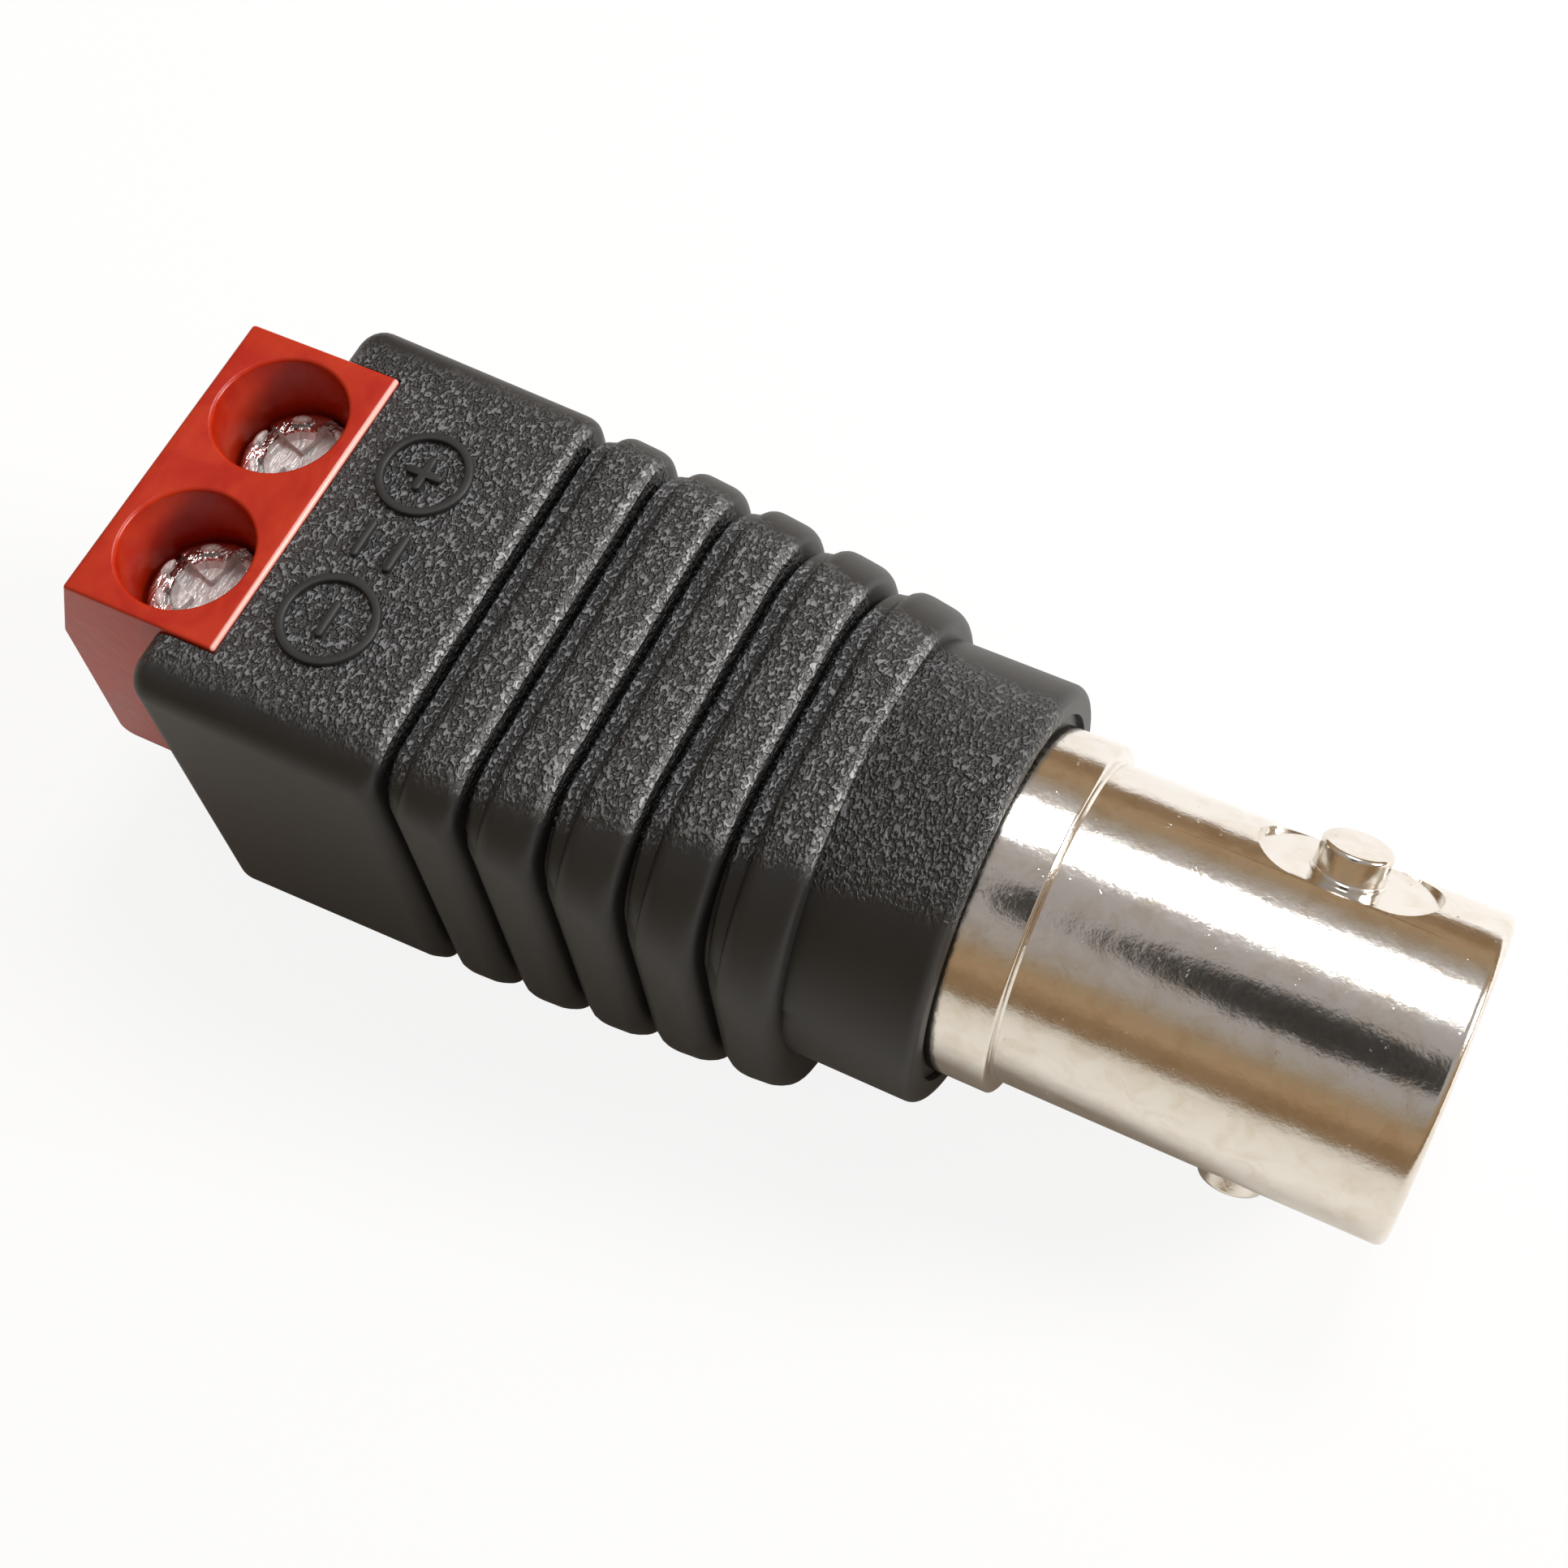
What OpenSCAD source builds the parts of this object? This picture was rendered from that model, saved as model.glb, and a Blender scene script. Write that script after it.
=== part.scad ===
// Short adapter from a two-way screw terminal block to a bayonet coaxial jack.
// The jack's axis is X and its mouth looks along +X. The screws are reached from above, along -Z.
// The origin is on the jack's axis, at the front end of its socket contact. Millimetres.

/* [Jack barrel] */
// Outer diameter of the jack's barrel
barrel_d = 9.65; // [9.5:0.05:9.8]
// Inner diameter of the barrel at its mouth
barrel_bore_d = 8.15; // [8.0:0.05:8.3]
// Length of the barrel from its mouth to the flange
barrel_len = 11.4; // [10.6:0.1:12.4]
// Depth from the mouth to the floor that a plug's sleeve meets
plane_depth = 8.4; // [8:0.1:9]
// Rounding of the mouth's edges
mouth_round = 0.28; // [0.1:0.02:0.34]
// Diameter of the flange ring in front of the moulded collar
flange_d = 10.55; // [10.2:0.05:10.9]
// Length of the flange ring that shows
flange_show = 1.74; // [0.8:0.02:2]
// Length of the flange that the collar covers
flange_hidden = 1.06; // [1:0.02:1.8]
// Chamfer on the flange's front edge and on the lugs' tips
edge_break = 0.12; // [0.05:0.01:0.2]

/* [Bayonet lugs] */
// Diameter of a lug
lug_d = 2.0; // [1.8:0.05:2.2]
// Distance across the two lug tips
lug_span = 11.0; // [10.8:0.1:11.2]
// Distance from the mouth back to the lugs
lug_back = 4.5; // [4.2:0.1:4.9]
// Angle of the lugs from vertical, leaning to +Y at the top
lug_angle = 40; // [0:1:90]
// Length of the flat round each lug
lug_flat_len = 5.2; // [4.4:0.1:6]
// How deep the flat cuts into the barrel
lug_flat_sink = 0.225; // [0.15:0.005:0.3]
// Width of the small shoulder round a lug's root
lug_shoulder = 0.16; // [0.1:0.02:0.2]

/* [Shell tail inside the body] */
// Diameter of the bore for the insulators
tail_bore_d = 6.7; // [6.4:0.1:6.9]
// Wall of the tail round that bore
tail_wall = 0.85; // [0.7:0.05:1]
// Length of the tail behind the flange
tail_len = 6.6; // [6:0.1:7.4]
// How far the tail's end is turned down to carry the earth tag
tail_turned = 0.4; // [0.3:0.05:0.5]
// Thickness of the wall between the mouth's bore and the tail's bore
floor_t = 1.2; // [0.9:0.1:1.6]
// Number of keying grooves round the tail
keys = 2; // [1:1:3]
// Width of a keying groove
key_w = 0.8; // [0.5:0.1:1]
// Depth of a keying groove
key_d = 0.35; // [0.2:0.05:0.45]

/* [Contact and insulators] */
// How far the socket contact sits back from the mouth
socket_recess = 2.9; // [2.5:0.1:3.3]
// Bore of the socket contact
socket_bore_d = 1.38; // [1.34:0.01:1.42]
// Depth of the socket's bore
socket_bore_len = 4.6; // [4:0.1:5.2]
// Outer diameter of the socket contact
socket_d = 2.15; // [2.05:0.05:2.3]
// Width of the slot that makes the socket springy
socket_slot = 0.3; // [0.2:0.05:0.4]
// Length of that slot
socket_slot_len = 4.0; // [3:0.1:4.4]
// Diameter of the contact's shank in the rear bead
shank_d = 1.6; // [1.4:0.1:1.8]
// How far the shank stands out behind the tail
shank_out = 2.2; // [1.8:0.1:2.6]
// Diameter of the contact's solder cup
cup_d = 1.9; // [1.7:0.05:2.1]
// Bore of the solder cup
cup_bore_d = 1.1; // [0.9:0.05:1.2]
// Length of the solder cup
cup_len = 2.0; // [1.6:0.1:2.6]
// Thickness of the solder cup's floor
cup_floor = 0.3; // [0.2:0.05:0.5]
// Diameter of the dielectric that stands in the barrel
dielectric_d = 4.75; // [4.6:0.05:4.9]
// Chamfer on the dielectric's front edge
dielectric_edge = 0.2; // [0.1:0.05:0.3]
// Length of the dielectric's seat behind the floor
seat_len = 2.2; // [1.8:0.1:2.6]
// Length of the ring that keeps the stack in
ring_len = 1.1; // [0.8:0.1:1.4]
// Wall of that ring
ring_wall = 1.15; // [0.9:0.05:1.5]
// Thickness of the earth tag
tag_t = 0.5; // [0.4:0.05:0.6]
// Width of the rim of the tag's ring
tag_rim = 0.85; // [0.7:0.05:1.1]
// Width of the tag's tongue
tongue_w = 1.6; // [1.2:0.1:2]
// Length of the tag's tongue
tongue_len = 4.0; // [3:0.1:5]
// Height of the tongue's underside above the lowest point of the tag's ring
tongue_lift = 0.84; // [0.6:0.02:0.9]

/* [Moulded body] */
// Width across the body's flat sides
body_w = 13.8; // [13.2:0.1:14.4]
// Height of the body
body_h = 12.8; // [12.4:0.1:13.4]
// Length from the terminal end to the collar's front
body_len = 23.9; // [22.6:0.1:26]
// Diameter of the round collar
collar_d = 12.8; // [12:0.1:13.2]
// Length of the collar
collar_len = 3.9; // [3.4:0.05:4.6]
// Rounding of the collar's front edge
collar_round = 0.35; // [0.15:0.05:0.6]
// Width of the shallow recess round the flange
recess_w = 0.35; // [0.2:0.025:0.6]
// Depth of the recess
recess_depth = 0.2; // [0.1:0.05:0.6]
// Rounding of the edges round the terminal end
end_round = 0.8; // [0.4:0.05:1]
// Radius of the upper corners at the terminal end
top_r1 = 0.9; // [0.8:0.1:2]
// Radius of the upper corners at the last rib, as a share of half the height
top_share = 0.9; // [0.6:0.02:0.92]
// Radius of the lower corners at the terminal end
low_r1 = 0.8; // [0.7:0.1:1.6]
// Radius of the lower corners at the last rib, as a share of half the height
low_share = 0.62; // [0.5:0.02:0.8]

/* [Ribs] */
// Number of ribs
ribs = 5; // [4:1:5]
// Distance from rib to rib
rib_pitch = 2.39; // [2.2:0.01:2.5]
// Width of the deep groove in front of each rib's step
groove_w = 0.28; // [0.2:0.02:0.4]
// Depth of the groove on the top and the underside
groove_d = 1.05; // [0.7:0.05:1.15]
// Depth of the groove on the sides
groove_side_d = 0.75; // [0.5:0.05:1]
// Length of the low step, measured from the start of the groove
step_len = 0.7; // [0.6:0.02:1.1]
// Depth of the low step on the top and the underside
step_d = 0.42; // [0.3:0.02:0.6]
// Rounding of the step's edge at the groove
step_round = 0.1; // [0.05:0.01:0.14]
// Length of the curve from the step up to the crest
crest_rise = 0.5; // [0.3:0.05:0.7]
// Rounding of the crest's other edge on the top and the underside
crest_round = 0.2; // [0.1:0.02:0.4]
// Rounding of the crest's edges on the sides, where the step dies out
side_round = 0.6; // [0.4:0.05:0.7]

/* [Terminal housing] */
// Pitch of the two poles
pole_pitch = 5.08; // [5:0.02:5.16]
// How far the housing's top stands above the body's top
housing_proud = 0.12; // [0.02:0.02:0.3]
// Length of the housing's top face
housing_top_len = 5.14; // [4.8:0.02:5.4]
// How far the front and back swell out below the top
housing_swell = 1.15; // [0.9:0.05:1.4]
// Extra swell at the foot of the front
foot_swell = 0.2; // [0:0.05:0.3]
// Height from the top down to the swollen part
shoulder_drop = 3.1; // [2.6:0.1:3.6]
// Rounding of the housing's lower front corner
foot_round = 0.5; // [0.2:0.1:0.8]
// Rounding of the housing's top edges
edge_round = 0.15; // [0.05:0.05:0.3]
// How far the top's front edge stands out of the body's end
housing_out = 3.0; // [2.6:0.1:3.6]
// Thickness of the housing's floor
housing_floor = 0.3; // [0.25:0.05:0.5]
// Flare round the mouth of a wire entry
entry_flare = 0.3; // [0.1:0.05:0.4]
// Depth of the straight lip before the flare narrows
entry_lip = 0.25; // [0.1:0.05:0.4]

/* [Clamp] */
// Diameter of a screw well
well_d = 4.02; // [3.96:0.02:4.1]
// Depth of a screw well, down to the shelf that the head stands on
well_depth = 3.22; // [3:0.02:3.4]
// Thickness of that shelf
shelf_t = 0.35; // [0.3:0.05:0.5]
// Gap between a screw's head and its well
head_gap = 0.16; // [0.1:0.02:0.25]
// Height of a screw's head
head_h = 1.15; // [1:0.05:1.3]
// Rounding of the head's rim
head_round = 0.3; // [0.1:0.05:0.4]
// Width of the cross slot
slot_w = 0.7; // [0.5:0.05:0.8]
// Depth of the cross slot
slot_d = 0.65; // [0.4:0.05:0.75]
// Diameter of the cone in the middle of the cross
cone_d = 2.1; // [1.6:0.1:2.4]
// Turn of the cross slot from the X axis
slot_turn = 74; // [0:1:89]
// Diameter of the thread
thread_d = 3.0; // [2.5:0.1:3]
// Pitch of the thread
thread_pitch = 0.5; // [0.45:0.05:0.5]
// Turns from open to clamped
screw_turns = 3; // [2:1:3]
// Length of a cage along the wire
cage_len = 3.4; // [3.2:0.1:3.5]
// Thickness of a cage's side walls
cage_wall = 0.4; // [0.35:0.05:0.45]
// Gap between the thread and the cage's side walls
side_gap = 0.1; // [0.05:0.05:0.15]
// Thickness of a cage's floor
cage_floor = 0.45; // [0.35:0.05:0.55]
// Thickness of a cage's threaded top
cage_top = 0.85; // [0.75:0.05:1]
// Room for the wire when the cage is down
wire_room = 1.86; // [1.7:0.02:2]
// Thickness of a contact bar
bar_t = 0.6; // [0.5:0.05:0.7]
// Width of a contact bar
bar_w = 2.3; // [2:0.1:2.6]
// How far a bar reaches past the front of its cage
bar_nose = 0.45; // [0.3:0.05:0.6]
// Wall between a cage and the bar's upright leg
leg_wall = 0.4; // [0.3:0.05:0.5]
// Width of a bar's solder pin
pin_w = 1.0; // [0.8:0.1:1.2]
// How far a solder pin reaches past the lead's middle
pin_past = 0.75; // [0.5:0.05:1]

/* [Leads] */
// Diameter over a lead's insulation
lead_d = 1.1; // [1:0.05:1.3]
// Diameter of a lead's bare end
bare_d = 0.6; // [0.5:0.05:0.8]
// Length of the bare end at a pin
strip_len = 0.6; // [0.4:0.05:1]
// Length of the bare end on the earth tag
tag_lap = 2.4; // [1.6:0.1:3]
// Length of the bare end in the solder cup
cup_lap = 0.4; // [0.3:0.05:1]
// Straight run of the signal lead behind the cup
lead_run = 2.2; // [1.6:0.1:3]
// Distance of the signal lead's lower bend from the housing
bend_gap = 1.2; // [0.8:0.1:2]
// Size of the ball at a bend, as a share of the lead
bend_ball = 1.06; // [1.02:0.01:1.15]

/* [Hidden] */

$fn = 64;
eps = 0.01;          // overlap that makes a cut clean
beyond = 1;          // how far a cutter stands out of what it cuts
run_gap = 0.05;      // clearance of a moving fit, each side
stop_gap = 0.15;     // room left above a raised cage
corner_steps = 8;    // facets of one corner of the body

// Diameters of the shell's tail and of what sits on and in it
tail_d = tail_bore_d + 2 * tail_wall;
tail_neck_d = tail_d - 2 * tail_turned;
ring_bore_d = tail_bore_d - 2 * ring_wall;
tag_d = tail_neck_d + 2 * tag_rim;
lug_flat_z = barrel_d / 2 - lug_flat_sink;

// Places along the jack
mouth_x = socket_recess;
plane_x = mouth_x - plane_depth;
flange_x = mouth_x - barrel_len;
collar_x = flange_x - flange_show;
flange_back = collar_x - flange_hidden;
tail_end = flange_back - tail_len;
seat_x = plane_x - floor_t;
bead_x = seat_x - seat_len;
ring_x = tail_end + ring_len;
shoulder_x = (bead_x + ring_x) / 2;
cup_x = tail_end - shank_out;
cup_end = cup_x - cup_len;
neck_x = tail_end + tag_t;
lug_x = mouth_x - lug_back;
tongue_z = tongue_lift - tag_d / 2;

// Places along the body
body_end = collar_x - body_len;
collar_back = collar_x - collar_len;
rib_x = collar_back - ribs * rib_pitch;
half_w = body_w / 2;
half_h = body_h / 2;
top_r2 = top_share * half_h;
low_r2 = low_share * half_h;

// Places in the terminal housing
housing_top = half_h + housing_proud;
housing_w = 2 * pole_pitch;
front_x = body_end - housing_out;
back_x = front_x + housing_top_len + housing_swell;
mouth_front = front_x - housing_swell - foot_swell;
well_x = front_x + housing_top_len / 2;
poles = [pole_pitch / 2, -pole_pitch / 2];            // positive, negative
head_d = well_d - 2 * head_gap;
window_w = thread_d + 2 * side_gap;
window_h = wire_room + bar_t + run_gap;
cage_w = window_w + 2 * cage_wall;
cage_h = cage_floor + window_h + cage_top;
travel = screw_turns * thread_pitch;
shelf_z = housing_top - well_depth;
ceiling_z = shelf_z - shelf_t;                        // top of a cage's pocket
cage_rest = ceiling_z - stop_gap - travel - cage_h;   // underside of a lowered cage
housing_low = cage_rest - run_gap - housing_floor;
bar_z = cage_rest + cage_floor + wire_room;           // underside of a contact bar
leg_x = well_x + cage_len / 2 + leg_wall + 2 * run_gap;
bar_front = well_x - cage_len / 2 - bar_nose;
lead_z = tongue_z - bare_d / 2;                       // height of the leads
pin_low = lead_z - pin_past;

// Arc about a centre, as outline points
function arc(c, r, a0, a1, n = 6) =
    [for (i = [0:n]) let (a = a0 + (a1 - a0) * i / n) c + r * [cos(a), sin(a)]];

// A profile of [x, radius] points turned about the X axis
module turned(points)
    rotate([90, 0, 90]) rotate_extrude($fn = 96) polygon([for (p = points) [p[1], p[0]]]);

// A straight round bar along X from one place to another
module bar_x(x0, x1, d)
    translate([min(x0, x1), 0, 0]) rotate([0, 90, 0]) cylinder(h = abs(x1 - x0), d = d);

// A round bar between any two points
module rod(a, b, d) {
    v = b - a;
    translate(a) rotate([0, acos(v[2] / norm(v)), atan2(v[1], v[0])])
        cylinder(h = norm(v), d = d, $fn = 32);
}

// A block from one corner to the opposite one
module block(a, b) translate(a) cube(b - a);

// An outline in X and Z given a width along Y, about a middle line
module slab(points, w, y = 0)
    translate([0, y + w / 2, 0]) rotate([90, 0, 0]) linear_extrude(w) polygon(points);

// Jack shell
function shell_outside() = concat(
    [[tail_end, tail_neck_d / 2], [neck_x, tail_neck_d / 2], [neck_x, tail_d / 2]],
    [for (k = [1:keys]) let (x = neck_x + k * (flange_back - neck_x) / (keys + 1))
        each [[x - key_w / 2, tail_d / 2], [x - key_w / 2, tail_d / 2 - key_d],
              [x + key_w / 2, tail_d / 2 - key_d], [x + key_w / 2, tail_d / 2]]],
    [[flange_back, tail_d / 2], [flange_back, flange_d / 2], [flange_x - edge_break, flange_d / 2],
     [flange_x, flange_d / 2 - edge_break], [flange_x, barrel_d / 2]],
    arc([mouth_x - mouth_round, barrel_d / 2 - mouth_round], mouth_round, 90, 0));

module at_each_lug()
    for (side = [0, 180]) translate([lug_x, 0, 0]) rotate([side - lug_angle, 0, 0]) children();

// A lug stands on a flat with round ends, which is milled into the barrel
module lug_flats() {
    half_chord = sqrt(pow(barrel_d / 2, 2) - pow(lug_flat_z, 2));
    at_each_lug() translate([0, 0, lug_flat_z]) linear_extrude(barrel_d) {
        square([lug_flat_len - 2 * half_chord, 2 * half_chord], center = true);
        for (end = [-1, 1]) translate([end * (lug_flat_len / 2 - half_chord), 0]) circle(half_chord);
    }
}

module lugs() {
    root_z = (barrel_bore_d / 2 + lug_flat_z) / 2;
    at_each_lug() rotate_extrude($fn = 48) polygon([
        [0, root_z], [lug_d / 2 + lug_shoulder, root_z],
        [lug_d / 2 + lug_shoulder, lug_flat_z + lug_shoulder / 2],
        [lug_d / 2, lug_flat_z + lug_shoulder], [lug_d / 2, lug_span / 2 - edge_break],
        [lug_d / 2 - edge_break, lug_span / 2], [0, lug_span / 2]]);
}

module jack_shell() color([0.80, 0.79, 0.77]) {
    difference() {
        turned(concat(shell_outside(),
            arc([mouth_x - mouth_round, barrel_bore_d / 2 + mouth_round], mouth_round, 0, -90),
            [[plane_x, barrel_bore_d / 2], [plane_x, dielectric_d / 2 + run_gap],
             [seat_x, dielectric_d / 2 + run_gap], [seat_x, tail_bore_d / 2],
             [tail_end, tail_bore_d / 2]]));
        lug_flats();
    }
    lugs();
}

// Insulators, contact and the ring behind them
module jack_insulator() color([0.93, 0.92, 0.88]) turned([
    [0, socket_d / 2 + run_gap], [0, dielectric_d / 2 - dielectric_edge],
    [-dielectric_edge, dielectric_d / 2], [seat_x, dielectric_d / 2], [seat_x, tail_bore_d / 2],
    [bead_x, tail_bore_d / 2], [bead_x, socket_d / 2 + run_gap]]);

module rear_insulator() color([0.93, 0.92, 0.88]) turned([
    [bead_x, socket_d / 2 + run_gap], [bead_x, tail_bore_d / 2], [ring_x, tail_bore_d / 2],
    [ring_x, shank_d / 2], [shoulder_x, shank_d / 2], [shoulder_x, socket_d / 2 + run_gap]]);

module retaining_ring() color([0.78, 0.76, 0.70]) turned([
    [ring_x, ring_bore_d / 2], [ring_x, tail_bore_d / 2], [tail_end, tail_bore_d / 2],
    [tail_end, ring_bore_d / 2]]);

module centre_contact() color([0.85, 0.68, 0.30]) difference() {
    union() {
        bar_x(0, shoulder_x, socket_d);
        bar_x(shoulder_x, cup_x, shank_d);
        bar_x(cup_x, cup_end, cup_d);
    }
    bar_x(eps, -socket_bore_len, socket_bore_d);
    block([-socket_slot_len, -socket_slot / 2, -socket_d], [beyond, socket_slot / 2, socket_d]);
    bar_x(cup_end - eps, cup_x - cup_floor, cup_bore_d);
}

module earth_tag() color([0.78, 0.76, 0.70]) {
    turned([[tail_end, tail_neck_d / 2], [neck_x, tail_neck_d / 2], [neck_x, tag_d / 2],
            [tail_end, tag_d / 2]]);
    block([neck_x - tongue_len, poles[1] - tongue_w / 2, tongue_z],
          [neck_x, poles[1] + tongue_w / 2, tongue_z + tag_t]);
}

// Moulded body. Its corners grow from square to nearly round along the ribs.
function along(x) = pow(max(0, min(1, (x - body_end) / (collar_back - body_end))), 2);
function corner_r(x, top) =
    top ? top_r1 + (top_r2 - top_r1) * along(x) : low_r1 + (low_r2 - low_r1) * along(x);

// How much of the top's depth counts where the surface looks along an angle
function facing_up(a) = let (t = max(0, min(1, (abs(sin(a)) - 0.1) / 0.75))) t * t * (3 - 2 * t);

// One ring of the loft, a rounded rectangle. A station is [x, depth on top, depth on the sides].
function ring(s) = [for (k = [0:3], j = [0:corner_steps]) let (
    a = 90 * (k + j / corner_steps), top = k < 2, sy = (k == 0 || k == 3) ? 1 : -1, sz = top ? 1 : -1,
    depth = s[2] + (s[1] - s[2]) * facing_up(a),
    r = max(corner_r(s[0], top) - 0.8 * depth, 0.25 * low_r1))
    [s[0], sy * (half_w - depth - r) + r * cos(a), sz * (half_h - depth - r) + r * sin(a)]];

// Rounded edge at the start of the body
function edge_in(x, r) = [for (p = arc([x + r, r], r, 180, 270, 4)) [p[0], p[1], p[1]]];

// Depth on a rounded edge, a way past the start of its rounding
function round_off(u, r) = r - sqrt(r * r - pow(max(0, min(u, r)), 2));

// Depth on a curve that rises from a depth to nothing over a run
function swell(u, run, deep) = deep * (1 - sqrt(1 - pow(1 - max(0, min(u, run)) / run, 2)));

// Rounded end of a crest, tighter on the top than on the sides
function crest_end(x) = [for (u = [0, 0.35, 0.65, 0.88, 1] * side_round)
    [x - side_round + u, round_off(u - side_round + crest_round, crest_round), round_off(u, side_round)]];

// Stations of one groove, its low step and the rise to the next crest
function rib_stations(x) = let (
    lip = groove_w + eps,
    edge = [0, step_round],
    rise = [for (t = [0:22.5:90]) step_len - lip + crest_rise * (1 - cos(t))]) concat(
    crest_end(x),
    [[x + eps, groove_d, groove_side_d], [x + groove_w, groove_d, groove_side_d]],
    [for (u = concat(edge, [(step_len - lip + step_round) / 2], rise)) [x + lip + u,
        swell(u - step_len + lip, crest_rise, step_d) + round_off(step_round - u, step_round),
        swell(u, crest_rise + step_len - lip, side_round)]]);

module loft(stations) {
    rings = [for (s = stations) ring(s)];
    n = len(rings[0]);
    last = len(rings) - 1;
    polyhedron(points = [for (r = rings) each r], faces = concat(
        [[for (j = [0:n - 1]) j]],
        [for (i = [0:last - 1], j = [0:n - 1]) let (k = (j + 1) % n)
            each [[i * n + k, i * n + j, (i + 1) * n + j], [i * n + k, (i + 1) * n + j, (i + 1) * n + k]]],
        [[for (j = [n - 1:-1:0]) last * n + j]]), convexity = 6);
}

module ribbed_bulk() {
    root_x = collar_back - beyond;
    loft(concat(
        edge_in(body_end, end_round),
        [for (i = [0:ribs - 1]) each rib_stations(rib_x + i * rib_pitch)],
        crest_end(collar_back)));
    turned(concat([[root_x, 0], [root_x, collar_d / 2 - beyond / 2], [collar_back, collar_d / 2]],
        arc([collar_x - collar_round, collar_d / 2 - collar_round], collar_round, 90, 0),
        [[collar_x, 0]]));
}

module moulded_body() color([0.16, 0.16, 0.155]) difference() {
    ribbed_bulk();
    slab(housing_outline(), housing_w);
    turned(concat([[tail_end, 0]], [for (p = shell_outside()) if (p[0] < flange_x) p], [[flange_x, 0]]));
    bar_x(collar_x - recess_depth, collar_x + beyond, flange_d + 2 * recess_w);
    bar_x(tail_end + eps, cup_x, shank_d);
    bar_x(cup_x, cup_end, cup_d);
    earth_tag();
    for (y = poles) solder_pin(y);
    signal_lead();
    earth_lead();
}

// Terminal housing
function housing_outline() = let (low = housing_low + foot_round, back = front_x + housing_top_len) concat(
    arc([front_x + edge_round, housing_top - edge_round], edge_round, 170, 90, 4),
    arc([back - edge_round, housing_top - edge_round], edge_round, 90, 10, 4),
    [[back_x, housing_top - shoulder_drop], [back_x, housing_low]],
    arc([mouth_front + foot_round, low], foot_round, 270, 180, 6),
    [[front_x - housing_swell, housing_top - shoulder_drop]]);

module wire_entry(y) {
    half = window_w / 2 - side_gap;
    low = cage_rest + cage_floor;
    block([mouth_front - beyond, y - half, low], [well_x, y + half, low + wire_room]);
    hull() {
        block([mouth_front - eps, y - half - entry_flare, low - entry_flare],
              [mouth_front + entry_lip, y + half + entry_flare, low + wire_room + entry_flare]);
        block([mouth_front + entry_lip + entry_flare, y - half, low],
              [mouth_front + entry_lip + entry_flare + eps, y + half, low + wire_room]);
    }
}

// Room for one cage, its bar and the bar's leg and pin
module clamp_room(y) {
    pocket = [cage_len / 2 + run_gap, cage_w / 2 + run_gap];
    block([well_x - pocket[0], y - pocket[1], cage_rest - run_gap],
          [well_x + pocket[0], y + pocket[1], ceiling_z]);
    block([bar_front - run_gap, y - bar_w / 2 - run_gap, bar_z - run_gap],
          [leg_x + bar_t + run_gap, y + bar_w / 2 + run_gap, bar_z + bar_t + run_gap]);
    block([leg_x - run_gap, y - bar_w / 2 - run_gap, housing_low + housing_floor],
          [leg_x + bar_t + run_gap, y + bar_w / 2 + run_gap, bar_z]);
    block([leg_x - run_gap, y - pin_w / 2 - run_gap, housing_low - beyond],
          [leg_x + bar_t + run_gap, y + pin_w / 2 + run_gap, housing_low + housing_floor + eps]);
}

module terminal_housing() color([0.72, 0.19, 0.10]) difference() {
    slab(housing_outline(), housing_w);
    for (y = poles) {
        translate([well_x, y, shelf_z]) cylinder(h = well_depth + beyond, d = well_d);
        translate([well_x, y, ceiling_z - eps]) cylinder(h = shelf_t + 2 * eps, d = window_w);
        clamp_room(y);
        wire_entry(y);
    }
}

// Clamp parts, one set for each pole
module clamp_screw(y) color([0.82, 0.82, 0.80]) translate([well_x, y, 0]) difference() {
    tip_z = bar_z + bar_t + run_gap;
    head_z = shelf_z + run_gap;
    union() {
        translate([0, 0, tip_z]) cylinder(h = head_z + eps - tip_z, d = thread_d);
        translate([0, 0, head_z]) rotate_extrude() polygon(concat(
            [[0, 0], [head_d / 2, 0]],
            arc([head_d / 2 - head_round, head_h - head_round], head_round, 0, 90, 4), [[0, head_h]]));
    }
    translate([0, 0, head_z + head_h - slot_d]) rotate([0, 0, slot_turn]) {
        for (turn = [0, 90]) rotate([0, 0, turn])
            block([-head_d, -slot_w / 2, 0], [head_d, slot_w / 2, slot_d + beyond]);
        translate([0, 0, slot_d / 4]) cylinder(h = slot_d, d1 = cone_d / 2, d2 = cone_d);
    }
}

module clamp_cage(y) color([0.76, 0.75, 0.70]) translate([well_x, y, cage_rest]) difference() {
    block([-cage_len / 2, -cage_w / 2, 0], [cage_len / 2, cage_w / 2, cage_h]);
    block([-cage_len, -window_w / 2, cage_floor], [cage_len, window_w / 2, cage_floor + window_h]);
    translate([0, 0, cage_floor + window_h - eps])
        cylinder(h = cage_top + beyond, d = thread_d + 2 * run_gap);
}

module solder_pin(y)
    block([leg_x, y - pin_w / 2, pin_low],
          [leg_x + bar_t, y + pin_w / 2, housing_low + housing_floor + eps]);

module contact_bar(y) color([0.80, 0.78, 0.72]) {
    foot_z = housing_low + housing_floor;
    slab(concat([[bar_front, bar_z], [bar_front, bar_z + bar_t]],
        arc([leg_x, bar_z], bar_t, 90, 0, 6),
        [[leg_x + bar_t, foot_z], [leg_x, foot_z], [leg_x, bar_z]]), bar_w, y);
    solder_pin(y);
}

// Leads
module lead_end(y) {
    pin_x = leg_x + bar_t;
    rod([pin_x + strip_len, y, lead_z], [pin_x, y, lead_z], bare_d);
}

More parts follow.
